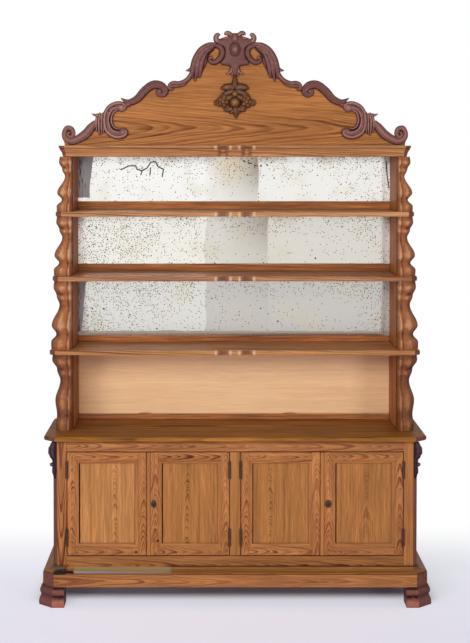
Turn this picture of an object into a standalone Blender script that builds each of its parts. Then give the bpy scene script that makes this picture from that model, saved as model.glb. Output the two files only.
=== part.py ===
"""Pitch-pine dresser: a four-door cupboard base, a stepped plate rack backed with mirrors,
and a carved scroll crest. Metres, +Z up, the front faces -Y, the origin is on the floor
under the middle of the whole piece."""

import math

import bmesh
import bpy
from mathutils import Matrix, Vector

for old in list(bpy.data.objects):
    bpy.data.objects.remove(old, do_unlink=True)

# Clearance between two pieces that touch
CLEAR = 0.0003

# Feet and plinth
FOOT_H = 0.084
FOOT_W = 0.095
FOOT_FLARE = 0.017
FOOT_BLOCK_INSET = 0.003
PLINTH_STEP = 0.045
PLINTH_STEP_FRONT = 0.040
PLINTH_H = 0.053
PLINTH_T = 0.022
PLINTH_CANT = 0.050
SLIT_H = 0.006

# Base moulding, of which a stretch on the left front is lost
MOULD_H = 0.028
MOULD_STEP = 0.002
MOULD_STUB = 0.036
MOULD_LOST = 0.454

# Cupboard carcass and face frame
BASE_CANT = 0.017
FRONT_OVERHANG = 0.040
CARCASS_H = 0.561
BOARD_T = 0.022
BACK_BOARD_T = 0.012
FLOOR_T = 0.020
FRAME_T = 0.024
POST_W = 0.058
STILE_W = 0.045
SILL_H = 0.0675
HEAD_H = 0.049
STOP_LIP = 0.007
STOP_GAP = 0.0005

# Counter
COUNTER_MARGIN = 0.0145
COUNTER_D = 0.475
COUNTER_T = 0.021
SIDE_OVERHANG = 0.039
COUNTER_CANT = 0.050
COUNTER_ROUND = 0.006

# Doors
HINGE_GAP = 0.003
DOOR_GAP = 0.0012
MEET_GAP = 0.002
BEAD_W = 0.0165
BEAD_PROUD = 0.005
BEAD_D = 0.015
BEAD_TONGUE = 0.003
BEAD_STEPS = 6
RAIL_W = 0.048
BEVEL_W = 0.015
BEVEL_D = 0.008
PANEL_T = 0.007
GROOVE_D = 0.008
GROOVE_END_GAP = 0.0015

# Ironwork
KNUCKLE_R = 0.0042
KNUCKLE_GAP = 0.0005
KNUCKLE_STEPS = 12
LEAF_T = 0.0012
LEAF_W = 0.020
HINGE_H = 0.075
HINGE_INSET = 0.038
PLATE_H = 0.034
OVAL_PLATE_W = 0.024
ROUND_PLATE_W = 0.030
PLATE_T = 0.003
PLATE_MARGIN = 0.002
PLATE_STEPS = 20
KEYHOLE_R = 0.0028
KEYHOLE_SLOT = 0.008
KEYHOLE_STEPS = 8
KEYHOLE_MOUTH = math.radians(40)
LOCK_W = 0.056
LOCK_H = 0.070
LOCK_T = 0.014
LOCK_SETBACK = 0.006
BOLT_L = 0.040
BOLT_H = 0.012
BOLT_T = 0.006
BOLT_NOSE = 0.003

# Rack
RACK_INNER_W = 1.410
END_T = 0.018
END_D = 0.265
LEDGE_HEIGHTS = (0.0245, 0.028, 0.033, 0.036)
LEDGE_T = 0.018
MIRROR_T = 0.004
PALE_PANEL_T = 0.008
PLATE_SIDE_GAP = 0.0010
SHELF_T = 0.021
CORNICE_T = 0.048
SHELF_EAR = 0.080
SHELF_NOSE = 0.078
SHELF_STEP = 0.0128
SHELF_D_STEP = 0.010
SHELF_CANT = 0.025
SHELF_ROUND = 0.003
BAY_HEIGHTS = (0.332, 0.299, 0.258, 0.2385)
BACK_PLANKS = 6
PLANK_GROOVE = 0.002

# Cupid's bow in the middle of every shelf front
BOW_NOTCH_X = 0.051
BOW_NOTCH_HALF = 0.030
BOW_NOTCH_D = 0.012
BOW_STEPS = 8

# Scroll brackets
BRACKET_WRAP = 0.050
BRACKET_SLANT = 0.75
BRACKET_CROWN = 0.010
BRACKET_FLANK = 0.020
BRACKET_ROLL = 0.004
ROLL_HALF = 0.04
ROLL_AT = (0.725, 0.875)

# Corbels on the canted posts
CORBEL_H = 0.165
CORBEL_SIDES = 10
CORBEL_KNOB_R = 0.007
CORBEL_KNOB_AT = 0.61

# Crest
CREST_T = 0.022
CREST_SETBACK = 0.022
CREST_INSET = 0.016
CREST_SINK = 0.0085
CREST_REACH = 0.749
RELIEF_LIFT = 0.004
SCROLL_SIDES = 7
SCROLL_STEPS = 3

# Finishes: sRGB colour, roughness, metallic
PINE = ("B8814B", 0.45, 0.0)
CREST_PINE = ("B97A3E", 0.45, 0.0)
SHELF_PINE = ("B8733F", 0.42, 0.0)
COUNTER_PINE = ("8F5F2E", 0.40, 0.0)
PALE_PINE = ("D3A66F", 0.55, 0.0)
INNER_PINE = ("9C7B50", 0.70, 0.0)
CARVED = ("6E3B33", 0.42, 0.0)
CORBEL_WOOD = ("3F2530", 0.45, 0.0)
FOOT_WOOD = ("7A3F35", 0.45, 0.0)
SILVERED = ("E8E6E0", 0.06, 1.0)
IRON = ("4A3F3B", 0.50, 0.9)

# Levels and planes worked out from the sizes above
END_IN = RACK_INNER_W / 2
END_OUT = END_IN + END_T
SHELF_HALF = END_OUT + SHELF_EAR
COUNTER_HALF = SHELF_HALF + COUNTER_MARGIN
BASE_HALF = COUNTER_HALF - SIDE_OVERHANG
PLINTH_HALF = BASE_HALF + PLINTH_STEP
PLINTH_D = COUNTER_D - FRONT_OVERHANG + PLINTH_STEP_FRONT
DEPTH = max(PLINTH_D + FOOT_FLARE, COUNTER_D)
REAR = DEPTH / 2
PLINTH_FRONT = REAR - PLINTH_D
COUNTER_FRONT = REAR - COUNTER_D
BASE_FRONT = COUNTER_FRONT + FRONT_OVERHANG
FRAME_BACK = BASE_FRONT + FRAME_T
PLINTH_Z = FOOT_H + CLEAR
PLINTH_TOP = PLINTH_Z + PLINTH_H
CARCASS_Z = PLINTH_TOP + SLIT_H
CARCASS_TOP = CARCASS_Z + CARCASS_H
COUNTER_Z = CARCASS_TOP + CLEAR
COUNTER_TOP = COUNTER_Z + COUNTER_T
DOOR_Z = CARCASS_Z + SILL_H + DOOR_GAP
DOOR_TOP = CARCASS_TOP - HEAD_H - DOOR_GAP
DOOR_MID = (DOOR_Z + DOOR_TOP) / 2
OPENING_IN = STILE_W / 2
OPENING_OUT = BASE_HALF - POST_W
LEAF_SPAN = (OPENING_OUT - OPENING_IN - 2 * HINGE_GAP - BEAD_W - MEET_GAP) / 2
END_FRONT = REAR - END_D
BACK_FACE = REAR - BACK_BOARD_T


def shelf_levels():
    """Underside and top of each tier, from the lowest shelf to the cornice."""
    levels = []
    top = COUNTER_TOP
    for tier, bay in enumerate(BAY_HEIGHTS):
        under = top + bay
        top = under + (CORNICE_T if tier == len(BAY_HEIGHTS) - 1 else SHELF_T)
        levels.append((under, top))
    return levels


LEVELS = shelf_levels()
CORNICE_UNDER, CORNICE_TOP = LEVELS[-1]
RACK_Z = COUNTER_TOP + CLEAR
RACK_TOP = CORNICE_UNDER - CLEAR


def tier_half(tier):
    return SHELF_HALF - tier * SHELF_STEP


def tier_front(tier):
    return END_FRONT - SHELF_NOSE + tier * SHELF_D_STEP


CREST_FACE = tier_front(len(BAY_HEIGHTS) - 1) + CREST_SETBACK
CREST_Z = CORNICE_TOP + CLEAR
CREST_STRETCH = (tier_half(len(BAY_HEIGHTS) - 1) - CREST_INSET) / CREST_REACH


def finish(name, look):
    """A Principled material in one sRGB colour."""
    colour, roughness, metallic = look
    parts = [int(colour[i:i + 2], 16) / 255 for i in (0, 2, 4)]
    linear = [c / 12.92 if c <= 0.04045 else ((c + 0.055) / 1.055) ** 2.4 for c in parts]
    made = bpy.data.materials.new(name + "_finish")
    made.use_nodes = True
    shader = made.node_tree.nodes["Principled BSDF"]
    shader.inputs["Base Color"].default_value = (*linear, 1.0)
    shader.inputs["Roughness"].default_value = roughness
    shader.inputs["Metallic"].default_value = metallic
    return made


def add(name, bm, look, parent=None, smooth_angle=None):
    """Turn a bmesh in world coordinates into a named object, seated on its parent empty."""
    if parent:
        bmesh.ops.translate(bm, verts=bm.verts, vec=-parent.location)
    mesh = bpy.data.meshes.new(name)
    bm.to_mesh(mesh)
    bm.free()
    if smooth_angle:
        mesh.shade_smooth()
        mesh.set_sharp_from_angle(angle=math.radians(smooth_angle))
    made = bpy.data.objects.new(name, mesh)
    made.parent = parent
    made.data.materials.append(finish(name, look))
    bpy.context.scene.collection.objects.link(made)
    return made


def axis_empty(name, place):
    made = bpy.data.objects.new(name, None)
    made.location = place
    bpy.context.scene.collection.objects.link(made)
    return made


def carve(target, tool, operation="DIFFERENCE", merge_itself=False):
    """Cut a closed bmesh, in world coordinates, out of an object, or join it on."""
    name = target.name + "_cutter_" + str(len(target.modifiers))
    mesh = bpy.data.meshes.new(name)
    tool.to_mesh(mesh)
    tool.free()
    cutter = bpy.data.objects.new(name, mesh)
    cutter.hide_render = True
    cutter.display_type = "WIRE"
    bpy.context.scene.collection.objects.link(cutter)
    cut = target.modifiers.new("cut", "BOOLEAN")
    cut.operation = operation
    cut.solver = "EXACT"
    cut.use_self = merge_itself
    cut.object = cutter


def prism(outline, axis, low, high):
    """An outline in the plane across an axis, extruded along that axis."""
    slot = "XYZ".index(axis)
    bm = bmesh.new()
    face = bm.faces.new([bm.verts.new((*p[:slot], low, *p[slot:])) for p in outline])
    grown = bmesh.ops.extrude_face_region(bm, geom=[face])["geom"]
    moved = [v for v in grown if isinstance(v, bmesh.types.BMVert)]
    travel = Vector((0, 0, 0))
    travel[slot] = high - low
    bmesh.ops.translate(bm, verts=moved, vec=travel)
    bmesh.ops.recalc_face_normals(bm, faces=bm.faces)
    return bm


def board(x, y, z):
    """A rectangular board from its three (low, high) spans."""
    return prism([(x[0], y[0]), (x[1], y[0]), (x[1], y[1]), (x[0], y[1])], "Z", *z)


def loft(sections, ring=False, bm=None):
    """Skin a row of matching outlines, capped at both ends unless the row closes on itself."""
    bm = bm or bmesh.new()
    rows = [[bm.verts.new(p) for p in section] for section in sections]
    spans = list(zip(rows, rows[1:] + rows[:1])) if ring else list(zip(rows, rows[1:]))
    faces = []
    for low, high in spans:
        for k in range(len(low)):
            n = (k + 1) % len(low)
            faces.append(bm.faces.new((low[k], low[n], high[n], high[k])))
    if not ring:
        faces.append(bm.faces.new(rows[0][::-1]))
        faces.append(bm.faces.new(rows[-1]))
    bmesh.ops.recalc_face_normals(bm, faces=faces)
    return bm


def eased(keys, at, column):
    """Value of a column of keys at a place, swinging smoothly from each key to the next."""
    for low, high in zip(keys, keys[1:]):
        if at <= high[0]:
            share = (at - low[0]) / (high[0] - low[0])
            share = (1 - math.cos(math.pi * share)) / 2
            return low[column] + (high[column] - low[column]) * share
    return keys[-1][column]


def spline(before, start, end, after, t):
    """Catmull-Rom blend from start to end."""
    square = 2 * before - 5 * start + 4 * end - after
    cube = 3 * (start - end) + after - before
    return start + 0.5 * ((end - before) * t + square * t ** 2 + cube * t ** 3)


def smooth_path(points, steps):
    """A curve through hand-set points, read at a number of steps in each span."""
    ends = [points[0]] + list(points) + [points[-1]]
    read = []
    for k in range(1, len(ends) - 2):
        for s in range(steps):
            t = s / steps
            read.append(tuple(spline(*values, t) for values in zip(*ends[k - 1:k + 3])))
    read.append(tuple(points[-1]))
    return read


def canted(half, front, rear, cant, grow=0.0):
    """A plan outline with cut front corners, grown outwards on every side but the rear."""
    cut = cant + grow * (2 - math.sqrt(2))
    wide = half + grow
    near = front - grow
    return [(-wide, rear), (-wide, near + cut), (-wide + cut, near),
            (wide - cut, near), (wide, near + cut), (wide, rear)]


def mirrored(points, side):
    return [(side * p[0], *p[1:]) for p in points]


# Profile of a foot: share of its height, and growth beyond the plinth as a share of the flare
FOOT_PROFILE = ((0.0, 0.90), (0.10, 1.0), (0.28, 0.95), (0.42, 0.62), (0.54, 0.42),
                (0.60, 0.55), (0.74, 0.74), (0.88, 0.58), (1.0, 0.10))


def foot_outline(grow, front, rear, cant):
    half = PLINTH_HALF
    inner = half - FOOT_W
    cut = cant + grow * (2 - math.sqrt(2)) if cant else 0.0
    near = front - grow if cant else front
    corner = [(half + grow - cut, near), (half + grow, near + cut)] if cant else [(half + grow, near)]
    return [(inner, rear), (inner, near)] + corner + [(half + grow, rear)]


def foot_block(front, rear, cant):
    """The corner block above the foot, inside the plinth, on which the carcass stands."""
    inner = PLINTH_HALF - FOOT_W + FOOT_BLOCK_INSET
    outer = BASE_HALF - FOOT_BLOCK_INSET
    corner = [(outer - cant, front), (outer, front + cant)] if cant else [(outer, front)]
    return [(inner, rear), (inner, front)] + corner + [(outer, rear)]


def make_feet():
    front_span = (PLINTH_FRONT, PLINTH_FRONT + FOOT_W, PLINTH_CANT)
    front_block = (BASE_FRONT + FOOT_BLOCK_INSET, PLINTH_FRONT + FOOT_W - FOOT_BLOCK_INSET, BASE_CANT)
    rear_span = (REAR - FOOT_W, REAR, 0.0)
    rear_block = (REAR - FOOT_W + FOOT_BLOCK_INSET, REAR - PLINTH_T - FOOT_BLOCK_INSET, 0.0)
    for place, span, block in (("front", front_span, front_block), ("rear", rear_span, rear_block)):
        for hand, side in (("left", -1), ("right", 1)):
            rows = []
            for height, share in FOOT_PROFILE:
                outline = foot_outline(share * FOOT_FLARE, *span)
                rows.append([(x, y, height * FOOT_H) for x, y in mirrored(outline, side)])
            for z in (FOOT_H, CARCASS_Z - CLEAR):
                rows.append([(x, y, z) for x, y in mirrored(foot_block(*block), side)])
            add(f"foot_{place}_{hand}", loft(rows), FOOT_WOOD)


def make_plinth():
    outer = canted(PLINTH_HALF, PLINTH_FRONT, REAR, PLINTH_CANT)
    inner = canted(PLINTH_HALF, PLINTH_FRONT, REAR - PLINTH_T, PLINTH_CANT, -PLINTH_T)
    rows = []
    for a, b in zip(outer, inner):
        rows.append([(*a, PLINTH_Z), (*b, PLINTH_Z), (*b, PLINTH_TOP), (*a, PLINTH_TOP)])
    add("plinth_frame", loft(rows, ring=True), PINE)


# Base moulding section: share of the projection, share of the height
MOULD_SECTION = ((0.0, 0.0), (1.0, 0.0), (1.0, 0.22), (0.86, 0.30), (0.55, 0.42),
                 (0.32, 0.62), (0.22, 0.84), (0.20, 1.0), (0.0, 1.0))


def make_base_moulding():
    against = canted(BASE_HALF, BASE_FRONT, REAR, BASE_CANT, CLEAR)
    edge = canted(PLINTH_HALF, PLINTH_FRONT, REAR, PLINTH_CANT, -MOULD_STEP)
    stub_x = BASE_CANT + MOULD_STUB - BASE_HALF
    torn_x = stub_x + MOULD_LOST
    stub = ((stub_x, against[2][1]), (stub_x, edge[2][1]))
    torn = ((torn_x, against[2][1]), (torn_x, edge[2][1]))
    runs = {
        "base_moulding_left": list(zip(against[:3], edge[:3])) + [stub],
        "base_moulding_right": [torn] + list(zip(against[3:], edge[3:])),
    }
    for name, run in runs.items():
        rows = []
        for near, far in run:
            rows.append([
                (near[0] + (far[0] - near[0]) * out, near[1] + (far[1] - near[1]) * out,
                 PLINTH_TOP + CLEAR + up * MOULD_H)
                for out, up in MOULD_SECTION
            ])
        add(name, loft(rows), PINE)


def make_carcass():
    half = BASE_HALF
    sides_y = (FRAME_BACK + CLEAR, REAR)
    height = (CARCASS_Z, CARCASS_TOP)
    add("carcass_side_left", board((-half, BOARD_T - half), sides_y, height), PINE)
    add("carcass_side_right", board((half - BOARD_T, half), sides_y, height), PINE)
    between = (BOARD_T - half + CLEAR, half - BOARD_T - CLEAR)
    add("carcass_back", board(between, (BACK_FACE, REAR), height), INNER_PINE)
    floor_top = DOOR_Z + STOP_LIP
    floor_y = (FRAME_BACK + STOP_GAP, BACK_FACE - CLEAR)
    add("carcass_bottom", board(between, floor_y, (floor_top - FLOOR_T, floor_top)), INNER_PINE)


def make_face_frame():
    plan = canted(BASE_HALF, BASE_FRONT, FRAME_BACK, BASE_CANT)
    frame = add("face_frame", prism(plan, "Z", CARCASS_Z, CARCASS_TOP), PINE)
    past = (BASE_FRONT - FRAME_T, FRAME_BACK + FRAME_T)
    for side in (-1, 1):
        width = sorted((side * OPENING_IN, side * OPENING_OUT))
        carve(frame, board(width, past, (CARCASS_Z + SILL_H, CARCASS_TOP - HEAD_H)))


def make_counter():
    rows = []
    for up, grow in ((0.0, -COUNTER_ROUND), (0.25, 0.0), (0.75, 0.0), (1.0, -COUNTER_ROUND)):
        outline = canted(COUNTER_HALF, COUNTER_FRONT, REAR, COUNTER_CANT, grow)
        rows.append([(x, y, COUNTER_Z + up * COUNTER_T) for x, y in outline])
    add("counter_top", loft(rows), COUNTER_PINE)


# Corbel, from its top down: share of its height, width as a share of the cut corner, projection
CORBEL_KEYS = ((0.0, 0.83, 0.012), (0.22, 0.98, 0.040), (0.47, 0.88, 0.016), (0.58, 0.83, 0.015),
               (0.74, 0.80, 0.019), (0.90, 0.60, 0.012), (1.0, 0.21, 0.004))
CORBEL_LEVELS = (0.0, 0.06, 0.12, 0.17, 0.22, 0.28, 0.34, 0.40, 0.47, 0.56, 0.65, 0.74, 0.82, 0.90,
                 0.96, 1.0)


def make_corbels():
    for hand, side in (("left", -1), ("right", 1)):
        across = Vector((side, 1, 0)).normalized()
        out = Vector((side, -1, 0)).normalized()
        half_cant = BASE_CANT / 2
        middle = Vector((side * (BASE_HALF - half_cant), BASE_FRONT + half_cant, CARCASS_TOP - CLEAR))
        rows = []
        for level in CORBEL_LEVELS:
            wide = eased(CORBEL_KEYS, level, 1) * BASE_CANT / math.sqrt(2)
            deep = eased(CORBEL_KEYS, level, 2)
            centre = middle + Vector((0, 0, -level * CORBEL_H))
            angles = [2 * math.pi * k / CORBEL_SIDES for k in range(CORBEL_SIDES)]
            rows.append([centre + across * wide * math.cos(a) + out * deep * math.sin(a) for a in angles])
        bm = loft(rows)
        reach = eased(CORBEL_KEYS, CORBEL_KNOB_AT, 2) + CORBEL_KNOB_R / 2
        knob = middle + out * reach + Vector((0, 0, -CORBEL_KNOB_AT * CORBEL_H))
        bmesh.ops.create_uvsphere(bm, u_segments=8, v_segments=6, radius=CORBEL_KNOB_R,
                                  matrix=Matrix.Translation(knob))
        corbel = add(f"corbel_{hand}", bm, CORBEL_WOOD, smooth_angle=50)
        behind = [middle + out * CLEAR + across * s * BASE_HALF for s in (-1, 1)]
        behind += [p - out * BASE_HALF for p in reversed(behind)]
        low, high = middle.z - 2 * CORBEL_H, middle.z + CORBEL_H
        carve(corbel, prism([(p.x, p.y) for p in behind], "Z", low, high), merge_itself=True)


def door_section():
    """Frame section: distance in from the outer edge, depth back from the front face."""
    groove_front = BEVEL_D + (FRAME_T - BEVEL_D) / 2 - PANEL_T / 2 - CLEAR
    groove_back = groove_front + PANEL_T + 2 * CLEAR
    return [(0.0, 0.0), (RAIL_W - BEVEL_W, 0.0), (RAIL_W, BEVEL_D), (RAIL_W, groove_front),
            (RAIL_W - GROOVE_D, groove_front), (RAIL_W - GROOVE_D, groove_back),
            (RAIL_W, groove_back), (RAIL_W, FRAME_T), (0.0, FRAME_T)]


def closing_bead(edge):
    """Half-round bead tongued into a leading leaf's free edge, to its left."""
    inside = edge + BEAD_TONGUE
    outline = [(inside, BASE_FRONT + BEAD_D), (inside, BASE_FRONT + CLEAR)]
    for k in range(BEAD_STEPS + 1):
        turn = math.pi * k / BEAD_STEPS
        outline.append((edge - BEAD_W * (1 - math.cos(turn)) / 2,
                        BASE_FRONT + CLEAR - BEAD_PROUD * math.sin(turn)))
    outline.append((edge - BEAD_W, BASE_FRONT + BEAD_D))
    return prism(outline, "Z", DOOR_Z + CLEAR, DOOR_TOP - CLEAR)


def make_door(name, left, right, pivot, leading=False):
    """A framed door with a floating panel; a leading leaf also has a closing bead."""
    section = door_section()
    corners = ((left, DOOR_Z, 1, 1), (right, DOOR_Z, -1, 1),
               (right, DOOR_TOP, -1, -1), (left, DOOR_TOP, 1, -1))
    rows = [[(x + sx * d, BASE_FRONT + y, z + sz * d) for d, y in section] for x, z, sx, sz in corners]
    frame = add(f"{name}_frame", loft(rows, ring=True), PINE, parent=pivot)
    if leading:
        carve(frame, closing_bead(left), operation="UNION")
    groove = RAIL_W - GROOVE_D + GROOVE_END_GAP
    front = BASE_FRONT + section[3][1] + CLEAR
    panel = board((left + groove, right - groove), (front, front + PANEL_T),
                  (DOOR_Z + groove, DOOR_TOP - groove))
    add(f"{name}_panel", panel, PINE, parent=pivot)
    return frame


def make_hinge(name, jamb_x, toward, pivot, middle_z):
    """Jamb leaf and knuckle of a butt hinge in one plan outline; toward is the door's side."""
    at = pivot.location
    leaf_face = jamb_x + toward * CLEAR - at.x
    leaf_near = leaf_face + toward * LEAF_T
    start = math.acos(leaf_face / KNUCKLE_R)
    end = math.acos(leaf_near / KNUCKLE_R)
    sweep = (2 * math.pi - abs(start - end)) * (1 if start > end else -1)
    outline = [(leaf_near, LEAF_W), (leaf_face, LEAF_W)]
    for k in range(KNUCKLE_STEPS + 1):
        turn = start + sweep * k / KNUCKLE_STEPS
        outline.append((KNUCKLE_R * math.cos(turn), KNUCKLE_R * math.sin(turn)))
    outline = [(at.x + x, at.y + y) for x, y in outline]
    add(name, prism(outline, "Z", middle_z - HINGE_H / 2, middle_z + HINGE_H / 2), IRON, smooth_angle=40)


# Escutcheon, from its back to its front: share of its size, share of its thickness
PLATE_SECTION = ((1.0, 0.1), (1.0, 0.4), (0.72, 0.6), (0.60, 1.0))


def keyhole(x, front, back):
    """A round hole with a slot below it, cut from front to back."""
    outline = []
    for k in range(KEYHOLE_STEPS + 1):
        turn = KEYHOLE_MOUTH - math.pi / 2 + (2 * math.pi - 2 * KEYHOLE_MOUTH) * k / KEYHOLE_STEPS
        outline.append((x + KEYHOLE_R * math.cos(turn), DOOR_MID + KEYHOLE_R * math.sin(turn)))
    slot = KEYHOLE_R * math.sin(KEYHOLE_MOUTH)
    outline += [(x - slot, DOOR_MID - KEYHOLE_SLOT), (x + slot, DOOR_MID - KEYHOLE_SLOT)]
    return prism(outline, "Y", front, back)


def make_escutcheon(name, x, width, pivot):
    """A thin plate with a raised middle and a keyhole."""
    rows = []
    for size, proud in PLATE_SECTION:
        turns = [2 * math.pi * k / PLATE_STEPS for k in range(PLATE_STEPS)]
        rows.append([
            (x + size * width / 2 * math.cos(turn), BASE_FRONT - proud * PLATE_T,
             DOOR_MID + size * PLATE_H / 2 * math.sin(turn))
            for turn in turns
        ])
    plate = add(name, loft(rows), IRON, parent=pivot, smooth_angle=30)
    carve(plate, keyhole(x, BASE_FRONT - 2 * PLATE_T, BASE_FRONT + PLATE_T))


def make_lock(hand, free_edge, pivot):
    """Rim lock on the back of a leading leaf: a case with its sliding bolt drawn in."""
    near = free_edge + LOCK_SETBACK
    back = FRAME_BACK + CLEAR
    box = board((near, near + LOCK_W), (back, back + LOCK_T), (DOOR_MID - LOCK_H / 2, DOOR_MID + LOCK_H / 2))
    case = add(f"lock_case_{hand}", box, IRON, parent=pivot)
    bolt_y = back + (LOCK_T - BOLT_T) / 2
    carve(case, board((near - BOLT_L, near + BOLT_L + CLEAR), (bolt_y - CLEAR, bolt_y + BOLT_T + CLEAR),
                      (DOOR_MID - BOLT_H / 2 - CLEAR, DOOR_MID + BOLT_H / 2 + CLEAR)))
    nose = near + BOLT_NOSE
    tail = near + BOLT_L
    outline = [(nose, bolt_y), (tail, bolt_y), (tail, bolt_y + BOLT_T), (nose, bolt_y + BOLT_T),
               (near, bolt_y + BOLT_T * 2 / 3), (near, bolt_y + BOLT_T / 3)]
    bolt = prism(outline, "Z", DOOR_MID - BOLT_H / 2, DOOR_MID + BOLT_H / 2)
    add(f"lock_bolt_{hand}", bolt, IRON, parent=pivot)


def make_doors():
    axis_y = BASE_FRONT - KNUCKLE_R - KNUCKLE_GAP
    spread = LEAF_SPAN + BEAD_W + MEET_GAP
    end_gap = HINGE_INSET + HINGE_H / 2
    hinge_zs = (("lower", DOOR_Z + end_gap), ("upper", DOOR_TOP - end_gap))
    pairs = (("left", -OPENING_OUT, -OPENING_IN, OVAL_PLATE_W),
             ("right", OPENING_IN, OPENING_OUT, ROUND_PLATE_W))
    for hand, low, high, plate_w in pairs:
        passive = axis_empty(f"{hand}_passive_axis", (low + HINGE_GAP / 2, axis_y, DOOR_MID))
        leading = axis_empty(f"{hand}_leading_axis", (high - HINGE_GAP / 2, axis_y, DOOR_MID))
        first = low + HINGE_GAP
        second = first + spread
        make_door(f"{hand}_passive_door", first, first + LEAF_SPAN, passive)
        frame = make_door(f"{hand}_leading_door", second, second + LEAF_SPAN, leading, leading=True)
        for level, z in hinge_zs:
            make_hinge(f"{hand}_passive_hinge_{level}", low, 1, passive, z)
            make_hinge(f"{hand}_leading_hinge_{level}", high, -1, leading, z)
        key_x = second + PLATE_MARGIN + plate_w / 2
        make_escutcheon(f"escutcheon_{hand}", key_x, plate_w, leading)
        carve(frame, keyhole(key_x, BASE_FRONT - FRAME_T, FRAME_BACK + FRAME_T))
        make_lock(hand, second - BEAD_W, leading)


def bow(x):
    """How far the shelf front is cut back beside its centre tongue."""
    away = abs(abs(x) - BOW_NOTCH_X)
    return BOW_NOTCH_D * math.cos(math.pi / 2 * away / BOW_NOTCH_HALF) ** 2 if away < BOW_NOTCH_HALF else 0.0


def bow_places():
    first = BOW_NOTCH_X - BOW_NOTCH_HALF
    half = [first + 2 * BOW_NOTCH_HALF * k / BOW_STEPS for k in range(BOW_STEPS + 1)]
    return [-x for x in reversed(half)] + half


def shelf_outline(half, front, grow, slotted):
    corner = canted(half, front, REAR, SHELF_CANT, grow)
    outline = corner[:3] + [(x, front - grow + bow(x)) for x in bow_places()] + corner[3:]
    if slotted:
        inner, outer = END_IN - CLEAR, END_OUT + CLEAR
        stop, rear = END_FRONT - CLEAR, BACK_FACE - CLEAR
        outline += [(outer, REAR), (outer, stop), (inner, stop), (inner, rear),
                    (-inner, rear), (-inner, stop), (-outer, stop), (-outer, REAR)]
    return outline


# Edge sections: share of the thickness, growth as a share of the rounding
SHELF_SECTION = ((0.0, -1.0), (0.22, 0.0), (0.78, 0.0), (1.0, -1.0))
CORNICE_SECTION = ((0.0, -6.0), (0.10, -5.6), (0.34, -4.6), (0.52, -3.2), (0.64, -1.6), (0.70, -1.0),
                   (0.76, -1.6), (0.80, -0.4), (0.84, 0.0), (0.96, 0.0), (1.0, -0.8))
TIER_NAMES = ("lower_shelf", "middle_shelf", "upper_shelf", "cornice_shelf")


def make_shelves():
    for tier, name in enumerate(TIER_NAMES):
        under, top = LEVELS[tier]
        slotted = tier < len(TIER_NAMES) - 1
        rows = []
        for up, grow in SHELF_SECTION if slotted else CORNICE_SECTION:
            outline = shelf_outline(tier_half(tier), tier_front(tier), grow * SHELF_ROUND, slotted)
            rows.append([(x, y, under + up * (top - under)) for x, y in outline])
        add(name, loft(rows), SHELF_PINE)


def bay_floors():
    return [COUNTER_TOP] + [top for _, top in LEVELS[:-1]]


def make_rack():
    for hand, side in (("left", -1), ("right", 1)):
        width = sorted((side * END_IN, side * END_OUT))
        add(f"rack_side_{hand}", board(width, (END_FRONT, REAR), (RACK_Z, RACK_TOP)), PINE)
    profile = [(REAR, RACK_Z)]
    for k in range(1, BACK_PLANKS):
        z = RACK_Z + (RACK_TOP - RACK_Z) * k / BACK_PLANKS
        profile += [(REAR, z - PLANK_GROOVE), (REAR - PLANK_GROOVE, z), (REAR, z + PLANK_GROOVE)]
    profile += [(REAR, RACK_TOP), (BACK_FACE, RACK_TOP)]
    for floor, ledge in reversed(list(zip(bay_floors(), LEDGE_HEIGHTS))):
        ledge_top = floor + ledge
        front = BACK_FACE - LEDGE_T
        profile += [(BACK_FACE, ledge_top), (front, ledge_top), (front, floor + CLEAR)]
        if floor > COUNTER_TOP:
            profile.append((BACK_FACE, floor + CLEAR))
    add("rack_back", prism(profile, "X", CLEAR - END_IN, END_IN - CLEAR), INNER_PINE)
    backs = (("pale_panel", PALE_PANEL_T, PALE_PINE), ("mirror_lower", MIRROR_T, SILVERED),
             ("mirror_middle", MIRROR_T, SILVERED), ("mirror_upper", MIRROR_T, SILVERED))
    half = END_IN - PLATE_SIDE_GAP
    for (name, thick, look), floor, ledge, (ceiling, _) in zip(backs, bay_floors(), LEDGE_HEIGHTS, LEVELS):
        rear = BACK_FACE - CLEAR
        height = (floor + ledge + CLEAR, ceiling - CLEAR)
        add(name, board((-half, half), (rear - thick, rear), height), look)


# Scroll brackets, from foot to head: share of the height, outer edge beyond the shelf above,
# front arris behind that shelf's front edge, inner arris beyond the end board's inner face
SHORT_BRACKET = ((0.0, SHELF_STEP - 0.001, 0.010, 0.014), (0.09, SHELF_STEP - 0.0005, 0.009, 0.014),
                 (0.21, -0.011, 0.018, 0.011), (0.335, 0.009, 0.006, 0.014), (0.64, -0.024, 0.038, 0.009),
                 (0.77, -0.012, 0.026, 0.009), (0.90, 0.001, 0.012, 0.010), (1.0, -0.002, 0.014, 0.010))
LONG_BRACKET = ((0.0, -0.025, 0.006, 0.016), (0.08, -0.023, 0.004, 0.015), (0.20, -0.028, 0.010, 0.012),
                (0.39, -0.021, 0.005, 0.012), (0.645, -0.041, 0.036, 0.009), (0.79, -0.027, 0.026, 0.009),
                (0.92, -0.006, 0.010, 0.010), (1.0, -0.008, 0.012, 0.010))
BRACKET_LEVELS = (0.0, 0.045, 0.09, 0.13, 0.17, 0.21, 0.25, 0.29, 0.335, 0.40, 0.48, 0.56, 0.64, 0.70, 0.74,
                  0.78, 0.82, 0.86, 0.89, 0.93, 0.97, 1.0)
BAY_NAMES = ("bottom", "lower", "middle", "top")


def roll(level):
    away = min(abs(level - at) for at in ROLL_AT)
    return BRACKET_ROLL * math.cos(math.pi / 2 * away / ROLL_HALF) ** 2 if away < ROLL_HALF else 0.0


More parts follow.
